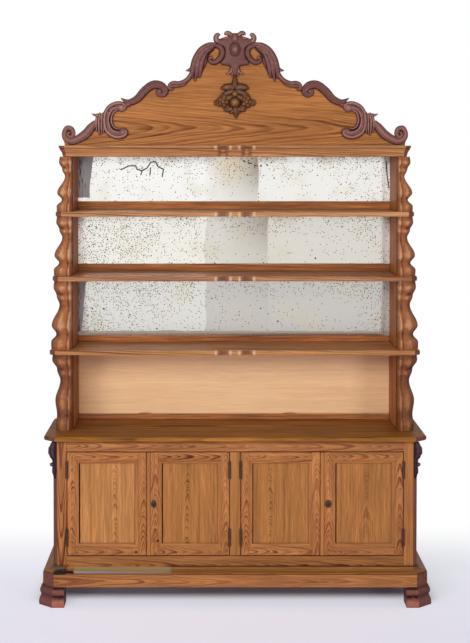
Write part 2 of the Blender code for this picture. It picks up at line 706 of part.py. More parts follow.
def bracket_outline(keys, level, half, front):
    inner_x = END_IN + CLEAR + eased(keys, level, 3)
    front_y = front + eased(keys, level, 2) - roll(level)
    outer_x = half + eased(keys, level, 1)
    face = Vector((outer_x - inner_x, (outer_x - inner_x) * BRACKET_SLANT))
    crown = Vector((face.y, -face.x)).normalized() * BRACKET_CROWN
    start = Vector((inner_x, front_y))
    arris = [start, start + face / 3 + crown, start + face * 2 / 3 + crown, start + face]
    flank = (outer_x - BRACKET_CROWN, start.y + face.y + BRACKET_FLANK)
    seat_x, seat_y = END_OUT + CLEAR, END_FRONT - CLEAR
    return [(END_IN + CLEAR, seat_y)] + [tuple(p) for p in arris] + [
        flank, (seat_x, END_FRONT + BRACKET_WRAP), (seat_x, seat_y)]


def make_brackets():
    for tier, bay in enumerate(BAY_NAMES):
        low = bay_floors()[tier] + CLEAR
        high = LEVELS[tier][0] - CLEAR
        keys = SHORT_BRACKET if tier else LONG_BRACKET
        for hand, side in (("left", -1), ("right", 1)):
            rows = []
            for level in BRACKET_LEVELS:
                outline = bracket_outline(keys, level, tier_half(tier), tier_front(tier))
                rows.append([(x, y, low + level * (high - low)) for x, y in mirrored(outline, side)])
            add(f"{bay}_bracket_{hand}", loft(rows), SHELF_PINE, smooth_angle=40)


# Crest, half of it: places are (out from the middle, up from CREST_SINK below the cornice's top)
CREST_OUTLINE = ((0.738, CREST_SINK), (0.742, 0.052), (0.722, 0.082), (0.698, 0.046), (0.650, 0.062),
                 (0.605, 0.110), (0.560, 0.160), (0.510, 0.186), (0.470, 0.196), (0.425, 0.215),
                 (0.385, 0.256), (0.345, 0.276), (0.305, 0.262), (0.272, 0.272), (0.225, 0.279),
                 (0.192, 0.320), (0.170, 0.372), (0.135, 0.416), (0.093, 0.436), (0.045, 0.450),
                 (0.0, 0.456))
# Carved scrolls: (out, up, radius) along each rib of the carving
END_SCROLL = ((0.716, 0.054, 0.009), (0.706, 0.068, 0.012), (0.722, 0.079, 0.013), (0.737, 0.062, 0.013),
              (0.731, 0.040, 0.015), (0.706, 0.036, 0.018), (0.674, 0.043, 0.020), (0.643, 0.062, 0.020),
              (0.610, 0.094, 0.021), (0.587, 0.126, 0.021), (0.569, 0.147, 0.019))
COLLAR_LEAF = ((0.592, 0.118, 0.015), (0.606, 0.133, 0.010), (0.621, 0.146, 0.003))
DROP_LEAF = ((0.588, 0.112, 0.016), (0.589, 0.082, 0.011), (0.586, 0.050, 0.004))
UPPER_LEAF = ((0.580, 0.134, 0.020), (0.549, 0.166, 0.019), (0.522, 0.180, 0.019), (0.498, 0.180, 0.019),
              (0.488, 0.168, 0.017))
LOWER_LEAF = ((0.575, 0.138, 0.018), (0.559, 0.113, 0.019), (0.548, 0.085, 0.020), (0.528, 0.064, 0.021),
              (0.503, 0.056, 0.022), (0.482, 0.063, 0.019))
S_SCROLL = ((0.497, 0.213, 0.004), (0.470, 0.197, 0.016), (0.439, 0.200, 0.019), (0.413, 0.220, 0.020),
            (0.387, 0.248, 0.019), (0.357, 0.270, 0.019), (0.327, 0.268, 0.018), (0.309, 0.250, 0.016),
            (0.320, 0.235, 0.013))
SMALL_SCROLL = ((0.264, 0.255, 0.006), (0.274, 0.248, 0.008), (0.284, 0.260, 0.010), (0.272, 0.277, 0.010),
                (0.248, 0.277, 0.011), (0.231, 0.277, 0.011), (0.209, 0.291, 0.012), (0.190, 0.317, 0.014),
                (0.179, 0.345, 0.017))
SHOULDER_LEAF = ((0.190, 0.322, 0.011), (0.202, 0.330, 0.007), (0.214, 0.335, 0.003))
BIG_SCROLL = ((0.179, 0.326, 0.018), (0.170, 0.369, 0.021), (0.153, 0.402, 0.020), (0.127, 0.427, 0.016),
              (0.092, 0.438, 0.013), (0.066, 0.424, 0.013), (0.060, 0.401, 0.013), (0.072, 0.382, 0.012),
              (0.096, 0.376, 0.011), (0.108, 0.389, 0.007))
HANGING_LEAF = ((0.168, 0.350, 0.021), (0.166, 0.317, 0.021), (0.172, 0.287, 0.006))
SCROLLS = (END_SCROLL, COLLAR_LEAF, DROP_LEAF, UPPER_LEAF, LOWER_LEAF, S_SCROLL, SMALL_SCROLL, SHOULDER_LEAF,
           BIG_SCROLL, HANGING_LEAF)
SPINE_R = 0.007
SPINE_ENDS = (5, 17)
# Cartouche with its fruit drop: ribs as above, and swellings (out, up, half width, half height, depth)
HORN = ((0.076, 0.464, 0.011), (0.079, 0.478, 0.013), (0.078, 0.489, 0.010), (0.072, 0.494, 0.004))
CROSS_BAR = ((0.086, 0.465, 0.008), (0.045, 0.466, 0.012), (0.0, 0.466, 0.014))
CROWN_LOBE = ((0.004, 0.484, 0.013), (0.022, 0.494, 0.014), (0.038, 0.495, 0.012), (0.047, 0.489, 0.005))
STEM = ((0.0, 0.385, 0.022), (0.0, 0.345, 0.018), (0.0, 0.322, 0.015), (0.0, 0.304, 0.008),
        (0.0, 0.262, 0.010))
STEM_LEAF = ((0.008, 0.334, 0.010), (0.024, 0.322, 0.008), (0.040, 0.312, 0.003))
TOP_LEAF = ((0.004, 0.268, 0.012), (0.034, 0.268, 0.013), (0.063, 0.258, 0.004))
SIDE_LEAF = ((0.030, 0.232, 0.012), (0.060, 0.222, 0.014), (0.088, 0.200, 0.005))
LOW_LEAF = ((0.018, 0.182, 0.014), (0.042, 0.163, 0.012), (0.056, 0.146, 0.004))
TIP = ((0.0, 0.182, 0.016), (0.0, 0.150, 0.012), (0.003, 0.128, 0.004))
CARTOUCHE_RIBS = (HORN, CROSS_BAR, CROWN_LOBE, STEM_LEAF, TOP_LEAF, SIDE_LEAF, LOW_LEAF)
CARTOUCHE_STEMS = (STEM, TIP)
SWELLINGS = ((0.0, 0.420, 0.042, 0.060, 0.020), (0.0, 0.4227, 0.021, 0.027, 0.032),
             (0.0, 0.376, 0.045, 0.020, 0.018), (0.0, 0.238, 0.026, 0.024, 0.022),
             (0.0, 0.194, 0.026, 0.027, 0.036))
SIDE_SWELLINGS = ((0.048, 0.196, 0.030, 0.024, 0.026), (0.075, 0.183, 0.019, 0.018, 0.020))


def crest_point(out, up, depth):
    return Vector((out * CREST_STRETCH, CREST_FACE - RELIEF_LIFT - depth, CREST_Z - CREST_SINK + up))


def rib(bm, points, side):
    """A tapering half-round rib of carving along a curve in the crest's plane."""
    path = smooth_path(points, SCROLL_STEPS)
    rows = []
    for k, (out, up, radius) in enumerate(path):
        before, after = path[max(k - 1, 0)], path[min(k + 1, len(path) - 1)]
        run = Vector((side * (after[0] - before[0]), after[1] - before[1])).normalized()
        ring = []
        for s in range(SCROLL_SIDES):
            turn = 2 * math.pi * (s + 0.37) / SCROLL_SIDES
            aside = radius * math.cos(turn)
            ring.append(crest_point(side * out - run.y * aside, up + run.x * aside, radius * math.sin(turn)))
        rows.append(ring)
    loft(rows, bm=bm)


def swelling(bm, out, up, half_width, half_height, depth):
    size = Matrix.Diagonal((half_width, depth, half_height, 1.0))
    place = Matrix.Translation(crest_point(out, up, 0.0))
    bmesh.ops.create_uvsphere(bm, u_segments=12, v_segments=7, radius=1.0, matrix=place @ size)


def flat_back(target):
    """Cut a carving flat where it lies on the crest board."""
    behind = (CREST_FACE - CLEAR, CREST_FACE + DEPTH)
    tall = (CREST_Z - CORNICE_TOP, CREST_Z + CORNICE_TOP)
    carve(target, board((-PLINTH_HALF, PLINTH_HALF), behind, tall), merge_itself=True)


def make_crest():
    half = smooth_path(CREST_OUTLINE, SCROLL_STEPS)
    outline = [(x * CREST_STRETCH, CREST_Z - CREST_SINK + z) for x, z in half]
    outline += [(-x, z) for x, z in reversed(outline[:-1])]
    add("crest_board", prism(outline, "Y", CREST_FACE, CREST_FACE + CREST_T), CREST_PINE)
    spine = [(x, z - SPINE_R, SPINE_R) for x, z in CREST_OUTLINE[SPINE_ENDS[0]:SPINE_ENDS[1]]]
    for hand, side in (("left", -1), ("right", 1)):
        bm = bmesh.new()
        for points in SCROLLS + (spine,):
            rib(bm, points, side)
        flat_back(add(f"crest_carving_{hand}", bm, CARVED, smooth_angle=50))
    bm = bmesh.new()
    for points in CARTOUCHE_STEMS:
        rib(bm, points, 1)
    for side in (-1, 1):
        for points in CARTOUCHE_RIBS:
            rib(bm, points, side)
        for out, *rest in SIDE_SWELLINGS:
            swelling(bm, side * out, *rest)
    for values in SWELLINGS:
        swelling(bm, *values)
    flat_back(add("crest_cartouche", bm, CARVED, smooth_angle=50))


make_feet()
make_plinth()
make_base_moulding()
make_carcass()
make_face_frame()
make_counter()
make_corbels()
make_doors()
make_shelves()
make_rack()
make_brackets()
make_crest()
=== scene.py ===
import math

import bmesh
import bpy
from mathutils import Matrix, Vector


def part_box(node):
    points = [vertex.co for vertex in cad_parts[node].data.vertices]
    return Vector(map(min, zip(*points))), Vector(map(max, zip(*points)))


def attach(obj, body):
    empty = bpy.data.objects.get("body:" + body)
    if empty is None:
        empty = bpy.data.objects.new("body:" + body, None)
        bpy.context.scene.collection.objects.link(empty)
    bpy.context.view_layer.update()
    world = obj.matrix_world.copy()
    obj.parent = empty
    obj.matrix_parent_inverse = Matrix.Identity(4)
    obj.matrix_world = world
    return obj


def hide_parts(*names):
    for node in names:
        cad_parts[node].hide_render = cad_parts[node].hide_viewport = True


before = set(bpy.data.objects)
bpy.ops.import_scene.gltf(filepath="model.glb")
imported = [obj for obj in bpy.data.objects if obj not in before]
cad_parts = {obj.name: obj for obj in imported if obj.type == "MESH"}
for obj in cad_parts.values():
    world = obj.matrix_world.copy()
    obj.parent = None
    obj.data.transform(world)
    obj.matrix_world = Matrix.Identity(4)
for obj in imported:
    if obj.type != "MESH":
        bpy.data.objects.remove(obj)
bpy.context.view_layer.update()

# Camera that took the photograph: its frame, focal length and axis in pixels, its place in metres
PHOTO_W, PHOTO_H = 470, 643
FOCAL_PX = 1575
AXIS_X, AXIS_Y = 211.8, 199.5
EYE = (-0.1, -6.879, 1.945)
LOOK_DOWN = math.radians(1.8)
SENSOR_MM = 36.0

# Sizes in metres that the pieces here share with the solids they stand for
CLEAR = 0.0003
EASED = 0.0012
FINE_EASED = 0.0008
BASE_CANT = 0.017
POST_W = 0.058
STILE_W = 0.045
SILL_H = 0.0675
HEAD_H = 0.049
RAIL_W = 0.048
BEVEL_W = 0.015
BEVEL_D = 0.008
QUIRK = 0.0025
PANEL_T = 0.007
BEAD_W = 0.0165
BEAD_PROUD = 0.005
BEAD_D = 0.015
KEYHOLE_R = 0.0028
KEYHOLE_SLOT = 0.008
FOOT_W = 0.095
FOOT_FLARE = 0.017
FOOT_BLOCK_INSET = 0.003
PLINTH_CANT = 0.050
CREST_SINK = 0.0085
RELIEF_LIFT = 0.004

FRAME_LOW, FRAME_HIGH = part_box("face_frame")
PLINTH_LOW, PLINTH_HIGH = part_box("plinth_frame")
END_LOW, END_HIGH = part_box("rack_side_right")
CREST_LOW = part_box("crest_board")[0]
END_IN, END_OUT, END_FRONT = END_LOW.x, END_HIGH.x, END_LOW.y
CREST_FACE = CREST_LOW.y
CREST_Z = CREST_LOW.z - CREST_SINK
HANDS = (("left", -1), ("right", 1))
# Turn of an edge, in radians, past which it is eased
ARRIS = 0.5

# Tones of each wood: early wood, late wood, aged patches
FRAME_PINE = ("C38349", "682814", "985C38")
PLINTH_PINE = ("BC7E48", "66281A", "905838")
FIRST_PANEL_PINE = ("C78A50", "84522C", "AA7540")
PANEL_PINE = ("B97C43", "704220", "9A6636")
SILL_PINE = ("B07540", "622C14", "82502A")
MOULDING_PINE = ("A26A36", "4A240E", "7A4C26")
CREST_PINE = ("B8783E", "602810", "98602F")
SHELF_PINE = ("CC915C", "7A4024", "9C643C")
UPPER_SHELF_PINE = ("D49C6A", "824C30", "AA744A")
MIDDLE_SHELF_PINE = ("C48C62", "723E26", "966342")
LEDGE_PINE = ("BA7844", "602618", "8E5034")
COUNTER_PINE = ("AE7132", "4A2A10", "7C4E1E")
PALE_PINE = ("FAD0A0", "ECB886", "F4C593")
RAW_PINE = ("AE8A5B", "86633A", "98784E")
FOOT_PINE = ("7A4A42", "52302A", "683C36")
# Tones of each carving: hollows, dark with patina and painted shade; body; ridges, pale with wear and
# painted highlight
RED_CARVING = ("381915", "6C4038", "A07064")
FRUIT_CARVING = ("221007", "603A1F", "AC7846")
DARK_CARVING = ("1C0F14", "432831", "7A555A")
RED_FOOT = ("2C1214", "864F45", "B27058")
BRACKET_STAIN = ("4A2210", "A26238", "DCA272")
BOTTOM_BRACKET_STAIN = ("3A1A0C", "854C2A", "BE8254")
# Faces of the base that are turned to the sides are painted a darker purple, as shade
SIDE_SHADE = "6E443F"
KNOT_TONE = "4A2510"
# How ragged the edge of a line of dirt or wear is
FINE_EDGE = 0.002

AXES = {"X": Vector((1, 0, 0)), "Y": Vector((0, 1, 0)), "Z": Vector((0, 0, 1))}


def colour(code):
    """An sRGB hex colour in linear light."""
    parts = [int(code[k:k + 2], 16) / 255 for k in (0, 2, 4)]
    return (*(p / 12.92 if p <= 0.04045 else ((p + 0.055) / 1.055) ** 2.4 for p in parts), 1.0)


def feed(tree, node, inputs):
    """Set a node's inputs, by name or in a row from the first: each a value or the socket that feeds it."""
    for key, value in inputs.items() if isinstance(inputs, dict) else enumerate(inputs):
        if isinstance(value, bpy.types.NodeSocket):
            tree.links.new(value, node.inputs[key])
        else:
            node.inputs[key].default_value = value


def add(tree, kind, inputs=(), operation=None, **settings):
    """Add a node and give its outputs."""
    made = tree.nodes.new("ShaderNode" + kind)
    if operation:
        made.operation = operation
    for name, value in settings.items():
        setattr(made, name, value)
    feed(tree, made, inputs)
    return made.outputs


def new_look(name):
    material = bpy.data.materials.new(name)
    material.use_nodes = True
    tree = material.node_tree
    tree.nodes.clear()
    shader = tree.nodes.new("ShaderNodeBsdfPrincipled")
    add(tree, "OutputMaterial", {"Surface": shader.outputs[0]})
    return material, tree, shader


def turned_aside(tree):
    """How far a face is turned to the left or the right."""
    facing = add(tree, "SeparateXYZ", (add(tree, "TexCoord")["Normal"],))["X"]
    return add(tree, "Math", (facing,), "ABSOLUTE")[0]


def lay_over(tree, tone, coats):
    """Lay coats over a tone, one on another: how far each covers, and its colour."""
    for share, coat in coats:
        tone = add(tree, "Mix", {0: share, 6: tone, 7: coat}, data_type="RGBA")[2]
    return tone


def drawn_out(tree, place, length, width, seed, detail):
    """Noise in spots of a length along the grain and a width across it."""
    spots = add(tree, "VectorMath", (place, (1 / length, 1 / width, 1 / width)), "MULTIPLY")[0]
    inputs = {"Vector": spots, "W": seed, "Scale": 1.0, "Detail": detail}
    return add(tree, "TexNoise", inputs, noise_dimensions="4D")


def pitch_pine(name, tones, along, face, centre, heart=0.022, taper=0.10, ring=0.006, figure=1.0, gloss=0.12,
               spread=3.0, knot=None, mitred=False, cheek=None):
    """Planed and waxed pitch pine: hard dark bands of late wood between soft orange early wood.

    along and face are the axes of the grain and of the board's front, and centre lies on that front over the
    pith. heart is how far the pith lies behind it, taper how fast the rings narrow along the trunk, which
    draws flames on the face, and ring the width of a year's growth; figure is how plainly the bands show,
    and spread how many rings wide the flamed strip is to each side. A knot is a place and its radius. Mitred
    lengths turn their grain at the corners. A cheek is the tone of painted shade on faces turned to the
    sides.
    """
    material, tree, shader = new_look(name)
    early, late, aged = (colour(tone) for tone in tones)
    seed = sum(map(ord, name)) * 0.37
    grain, depth = AXES[along], AXES[face]
    turn = Matrix((grain, depth.cross(grain), depth))
    shift = Vector((0, 0, heart)) - turn @ Vector(centre)
    place = add(tree, "TexCoord")["Object"]
    if mitred:
        onside = add(tree, "Math", (turned_aside(tree), 0.8), "GREATER_THAN")[0]
        corner = add(tree, "SeparateXYZ", (place,))
        swapped = add(tree, "CombineXYZ", (corner["Y"], corner["X"], corner["Z"]))[0]
        place = add(tree, "Mix", {0: onside, 4: place, 5: swapped}, data_type="VECTOR")[1]
    board = add(tree, "Mapping", {"Vector": place, "Location": shift, "Rotation": turn.to_euler()})[0]

    # The trunk bends: its rings wander, by less than two rings, over 27 rings' length and 8 rings' width
    bend = drawn_out(tree, board, 27 * ring, 8 * ring, seed, 3.0)["Color"]
    off = add(tree, "VectorMath", (bend, (0.5, 0.5, 0.5)), "SUBTRACT")[0]
    wander = (22 * ring, 2.4 * ring, 2.4 * ring)
    bent = add(tree, "VectorMath", (off, wander, board), "MULTIPLY_ADD")[0]
    flat = add(tree, "VectorMath", (bent, (0.0, 1.0, 1.0)), "MULTIPLY")[0]
    radius = add(tree, "VectorMath", (flat,), "LENGTH")["Value"]
    split = add(tree, "SeparateXYZ", (bent,))
    radius = add(tree, "Math", (split["X"], taper, radius), "MULTIPLY_ADD")[0]
    if knot:
        spot, reach = knot
        away = add(tree, "VectorMath", (place, spot), "DISTANCE")["Value"]
        swell = (away, 0.0, 4 * reach, 4 * ring, 0.0)
        swell = add(tree, "MapRange", swell, interpolation_type="SMOOTHSTEP")[0]
        radius = add(tree, "Math", (radius, swell), "ADD")[0]
    rings = add(tree, "Math", (radius, 1 / ring, seed), "MULTIPLY_ADD")[0]
    # No two years grew alike: some rings are wide, some narrow, and some are faint
    growth = add(tree, "TexNoise", {"W": rings, "Scale": 0.35, "Detail": 1.0}, noise_dimensions="1D")[0]
    rings = add(tree, "Math", (growth, 2.4, rings), "MULTIPLY_ADD")[0]
    year = add(tree, "Math", (rings,), "FLOOR")[0]
    luck = add(tree, "TexWhiteNoise", {"W": year}, noise_dimensions="1D")["Value"]
    strong = add(tree, "MapRange", {0: luck, 3: 0.35, 4: 1.0})[0]
    part = add(tree, "Math", (rings,), "FRACT")[0]
    rise = add(tree, "MapRange", (part, 0.30, 0.86), interpolation_type="SMOOTHSTEP")[0]
    drop = add(tree, "MapRange", (part, 0.88, 1.0, 1.0, 0.0), interpolation_type="SMOOTHSTEP")[0]
    band = add(tree, "Math", (rise, drop), "MULTIPLY")[0]

    # Fibres are 0.05 mm wide, too fine to show, so bundles of 3 mm by 90 mm are drawn
    fibre = drawn_out(tree, board, 0.090, 0.003, seed, 2.0)[0]
    # Resin has darkened some years more than others, in streaks 14 mm wide and 600 mm long
    streak = drawn_out(tree, bent, 0.60, 0.014, seed + 5.0, 3.0)[0]
    # Wax and smoke have toned it in patches about 300 mm long and 80 mm wide
    patch = drawn_out(tree, board, 0.30, 0.08, seed + 9.0, 4.0)[0]
    smoke = add(tree, "MapRange", (patch, 0.40, 0.72, 0.0, 0.60))[0]
    resin = add(tree, "MapRange", (streak, 0.35, 0.65, 0.6 * figure, figure))[0]
    # The bands stand out in the flamed heart and are cut too steeply to show much beside it
    beside = add(tree, "Math", (split["Y"],), "ABSOLUTE")[0]
    plain = add(tree, "MapRange", (beside, spread * ring, 2.7 * spread * ring, 1.0, 0.42))[0]
    dark = band
    for share in (resin, strong, plain):
        dark = add(tree, "Math", (dark, share), "MULTIPLY")[0]
    coats = [(dark, late), (smoke, aged)]
    if knot:
        core = add(tree, "MapRange", (away, 0.7 * reach, 1.3 * reach, 0.85, 0.0))[0]
        coats.append((core, colour(KNOT_TONE)))
    if cheek:
        # Painted shade: faces turned to the sides take the darker cheek tone
        turned = add(tree, "MapRange", (turned_aside(tree), 0.25, 0.60, 0.0, 0.8))[0]
        coats.append((turned, colour(cheek)))
    tone = lay_over(tree, early, coats)
    fine = add(tree, "MapRange", (fibre, 0.25, 0.75, 1 - 0.22 * figure, 1 + 0.19 * figure))[0]
    broad = add(tree, "MapRange", (streak, 0.30, 0.70, 1 + 0.17 * figure, 1 - 0.18 * figure))[0]
    # Painted shade darkens every corner and joint, out to about 9 mm, from ambient occlusion
    nook = add(tree, "AmbientOcclusion", {"Distance": 0.009}, samples=6)["AO"]
    shade = add(tree, "MapRange", (nook, 0.30, 0.88, 0.22, 1.0))[0]
    for share in (fine, broad):
        shade = add(tree, "Math", (shade, share), "MULTIPLY")[0]
    height = add(tree, "Math", (band, 0.6, fibre), "MULTIPLY_ADD")[0]
    feed(tree, shader, {
        "Base Color": add(tree, "VectorMath", {0: tone, "Scale": shade}, "SCALE")[0],
        "Roughness": add(tree, "MapRange", (fibre, 0.3, 0.7, 0.60, 0.44))[0],
        "Specular IOR Level": gloss,
        "Normal": add(tree, "Bump", {"Height": height, "Strength": 0.35, "Distance": 0.0004})[0],
    })
    return material


def patch_over(material, low, high, tone, ragged=0.006, soft=0.001):
    """Lay another tone over a stretch of a board, with a ragged edge."""
    tree = material.node_tree
    shader = next(node for node in tree.nodes if node.type == "BSDF_PRINCIPLED")
    wood = shader.inputs["Base Color"].links[0].from_socket
    place = add(tree, "TexCoord")["Object"]
    wave = add(tree, "TexNoise", {"Vector": place, "Scale": 1 / 0.03, "Detail": 2.0})["Color"]
    off = add(tree, "VectorMath", (wave, (0.5, 0.5, 0.5)), "SUBTRACT")[0]
    moved = add(tree, "VectorMath", (off, (ragged, 0.0, ragged), place), "MULTIPLY_ADD")[0]
    middle = (Vector(low) + Vector(high)) / 2
    half = (Vector(high) - Vector(low)) / 2
    away = add(tree, "VectorMath", (moved, middle), "SUBTRACT")[0]
    size = add(tree, "VectorMath", (away,), "ABSOLUTE")[0]
    beyond = add(tree, "VectorMath", (size, half), "SUBTRACT")[0]
    worst, *others = add(tree, "SeparateXYZ", (beyond,))
    for other in others:
        worst = add(tree, "Math", (worst, other), "MAXIMUM")[0]
    inside = add(tree, "MapRange", (worst, soft, -soft))[0]
    feed(tree, shader, {"Base Color": lay_over(tree, wood, [(inside, colour(tone))])})


def stained_carving(name, tones, gloss=0.25, cheek=None):
    """Carved wood under old stain and wax: nearly black in the hollows, with patina and painted shade, and
    pale on the ridges, with wear and painted highlight.

    A cheek is the tone of painted shade on faces turned to the sides.
    """
    material, tree, shader = new_look(name)
    deep, body, wear_and_light = (colour(tone) for tone in tones)
    place = add(tree, "TexCoord")["Object"]
    relief = add(tree, "Attribute", attribute_name="relief")["Fac"]
    # Handling has worn it unevenly, in spots of about 15 mm; tool marks are 3 mm
    mottle = add(tree, "TexNoise", {"Vector": place, "Scale": 1 / 0.015, "Detail": 3.0})[0]
    marks = add(tree, "TexNoise", {"Vector": place, "Scale": 1 / 0.003, "Detail": 1.0})[0]
    spread = add(tree, "MapRange", (mottle, 0.3, 0.7, -0.12, 0.12))[0]
    mottled_level = add(tree, "Math", (relief, spread), "ADD")[0]
    low = add(tree, "MapRange", (mottled_level, 0.05, 0.55), interpolation_type="SMOOTHSTEP")[0]
    high = add(tree, "MapRange", (mottled_level, 0.60, 1.10, 0.0, 0.9), interpolation_type="SMOOTHSTEP")[0]
    coats = [(low, body), (high, wear_and_light)]
    if cheek:
        # Painted shade: faces turned to the sides take the darker cheek tone
        turned = add(tree, "MapRange", (turned_aside(tree), 0.25, 0.60, 0.0, 0.75))[0]
        coats.append((turned, colour(cheek)))
    feed(tree, shader, {
        "Base Color": lay_over(tree, deep, coats),
        "Roughness": add(tree, "MapRange", (mottled_level, 0.1, 0.9, 0.65, 0.36))[0],
        "Specular IOR Level": gloss,
        "Normal": add(tree, "Bump", {"Height": marks, "Strength": 0.30, "Distance": 0.0008})[0],
    })
    return material


def near_line(tree, place, points):
    """Distance from a broken line."""
    nearest = None
    for start, end in zip(points, points[1:]):
        start, run = Vector(start), Vector(end) - Vector(start)
        away = add(tree, "VectorMath", (place, start), "SUBTRACT")[0]
        along = add(tree, "VectorMath", (away, run / run.length_squared), "DOT_PRODUCT")["Value"]
        share = add(tree, "Clamp", (along,))[0]
        foot = add(tree, "VectorMath", {0: run, "Scale": share}, "SCALE")[0]
        gap = add(tree, "VectorMath", (away, foot), "DISTANCE")["Value"]
        nearest = gap if nearest is None else add(tree, "Math", (nearest, gap), "MINIMUM")[0]
    return nearest


def specks(tree, place, cell, least, most, limit):
    """Round spots, at most one to a cell: least and most radius, and the share of cells that have one."""
    spots = add(tree, "TexVoronoi", {"Vector": place, "Scale": 1 / cell})
    chance = add(tree, "SeparateXYZ", (spots["Color"],))
    kept = add(tree, "Math", (chance["X"], limit), "LESS_THAN")[0]
    reach = add(tree, "MapRange", {0: chance["Y"], 3: least / cell, 4: most / cell})[0]
    fade = add(tree, "Math", (spots["Distance"], reach), "DIVIDE")[0]
    inside = add(tree, "MapRange", (fade, 0.6, 1.0, 1.0, 0.0))[0]
    return add(tree, "Math", (kept, inside), "MULTIPLY")[0]


def silvered_glass(name, low, high, tones, grey_edge, thick_left, bare=0.0, reflected_ledge=0.0, cracks=(),
                   rusted=None):
    """Old silvered plate glass: a pale mirror, foxed where damp has reached the silver, and greyed by a
    painted reflection.

    tones are the left part, the right part and the greyest stretch, which ends at grey_edge; the greyer
    right part and the grey stretch are painted reflection. thick_left is how much thicker the spots lie at
    the left; bare is how wide a strip at the left has lost its silver, and reflected_ledge how high a strip
    along the foot is painted with the reflection of the ledge below; cracks are broken lines and rusted
    the middle of a rusty patch.
    """
    material, tree, shader = new_look(name)
    left, right, grey = (colour(tone) for tone in tones)
    place = add(tree, "TexCoord")["Object"]
    across, _, up = add(tree, "SeparateXYZ", (place,))
    clouds = {"Vector": place, "W": low.z * 11.0, "Scale": 1 / 0.12, "Detail": 4.0}
    cloud = add(tree, "TexNoise", clouds, noise_dimensions="4D")[0]
    ragged = add(tree, "Math", (cloud, 0.05, across), "MULTIPLY_ADD")[0]
    # The right part and the greyest stretch are painted reflection
    past = add(tree, "MapRange", (ragged, -0.109, -0.101), interpolation_type="SMOOTHSTEP")[0]
    grey_reflection = add(tree, "MapRange", (ragged, grey_edge - 0.22, grey_edge))[0]
    stop = add(tree, "MapRange", (ragged, grey_edge + 0.005, grey_edge + 0.012, 1.0, 0.0))[0]
    drop = add(tree, "Math", (high.z, up), "SUBTRACT")[0]
    upper = add(tree, "MapRange", (drop, 0.05, 0.19, 1.0, 0.35))[0]
    for share in (stop, upper):
        grey_reflection = add(tree, "Math", (grey_reflection, share), "MULTIPLY")[0]
    stain = add(tree, "MapRange", (cloud, 0.52, 0.75, 0.0, 0.40))[0]
    coats = [(past, right), (grey_reflection, grey), (stain, colour("D9CDAA"))]

    # Foxing: spots from 3 mm up to 11 mm, thick along the top, towards both ends and in patches
    limit = add(tree, "MapRange", (drop, 0.0, 0.12, 0.85, 0.10))[0]
    to_left = add(tree, "MapRange", (across, low.x, 0.0, thick_left, 0.0))[0]
    to_right = add(tree, "MapRange", (across, 0.45, high.x, 0.0, 0.55))[0]
    for more in (to_left, to_right):
        limit = add(tree, "Math", (limit, more), "ADD")[0]
    patchy = add(tree, "MapRange", (cloud, 0.36, 0.60, 0.3, 1.3))[0]
    limit = add(tree, "Math", (limit, patchy), "MULTIPLY")[0]
    foxed = specks(tree, place, 0.0075, 0.0014, 0.0033, limit)
    spots = specks(tree, place, 0.022, 0.0024, 0.0050, limit)
    blots = specks(tree, place, 0.060, 0.0030, 0.0055, 0.40)
    for dots in (spots, blots):
        foxed = add(tree, "Math", (foxed, dots), "MAXIMUM")[0]
    # Browner along the top, fading out over 35 mm, in patches
    top_brown = add(tree, "MapRange", (drop, 0.0, 0.035, 0.55, 0.0))[0]
    top_brown = add(tree, "Math", (top_brown, patchy), "MULTIPLY")[0]
    coats.append((top_brown, colour("A08C70")))
    if rusted:
        away = add(tree, "VectorMath", (place, (rusted[0], low.y, rusted[1])), "DISTANCE")["Value"]
        near = add(tree, "MapRange", (away, 0.02, 0.11, 0.6, 0.0))[0]
        crust = specks(tree, place, 0.012, 0.0025, 0.0065, near)
        coats += [(near, colour("E2D2B2")), (crust, colour("A8763E"))]
    for line in cracks:
        gap = near_line(tree, place, [(x, low.y, z) for x, z in line])
        crack = add(tree, "MapRange", (gap, 0.0022, 0.0034, 1.0, 0.0))[0]
        foxed = add(tree, "Math", (foxed, crack), "MAXIMUM")[0]
    coats.append((foxed, colour("3E342C")))
    # A strip along the foot painted with the reflection of the ledge below
    if reflected_ledge:
        height = add(tree, "Math", (cloud, 0.02, up), "MULTIPLY_ADD")[0]
        under = add(tree, "Math", (height, low.z + reflected_ledge + 0.01), "LESS_THAN")[0]
        coats.append((under, colour("B3A598")))
    if bare:
        lean = add(tree, "MapRange", (drop, 0.0, 0.22, 0.010, -0.012))[0]
        edge = add(tree, "Math", (cloud, 0.030, lean), "MULTIPLY_ADD")[0]
        side = add(tree, "Math", (across, edge), "SUBTRACT")[0]
        beside = add(tree, "Math", (side, low.x + bare - 0.015), "LESS_THAN")[0]
        lifted = add(tree, "Math", (up, low.z + 0.016), "GREATER_THAN")[0]
        lost = add(tree, "Math", (beside, lifted), "MULTIPLY")[0]
        # The backing shows grey, streaked with purple black over 8 mm by 40 mm near the edge
        tall = add(tree, "VectorMath", (place, (1 / 0.008, 1.0, 1 / 0.04)), "MULTIPLY")[0]
        mottled_level = add(tree, "TexNoise", {"Vector": tall, "Scale": 1.0, "Detail": 3.0})[0]
        more = add(tree, "MapRange", (across, low.x, low.x + bare, 0.22, -0.10))[0]
        mottled_level = add(tree, "Math", (mottled_level, more), "ADD")[0]
        streaks = add(tree, "MapRange", (mottled_level, 0.62, 0.80))[0]
        coats.append((lost, lay_over(tree, colour("A5A1A2"), [(streaks, colour("463A4C"))])))
        foxed = add(tree, "Math", (foxed, lost), "MAXIMUM")[0]
    # Damp has clouded both ends
    aside = add(tree, "Math", (across,), "ABSOLUTE")[0]
    feed(tree, shader, {
        "Base Color": lay_over(tree, left, coats),
        "Metallic": add(tree, "MapRange", {0: foxed, 3: 0.85, 4: 0.1})[0],
        "Roughness": add(tree, "MapRange", (aside, high.x - 0.045, high.x - 0.01, 0.07, 0.40))[0],
    })
    return material


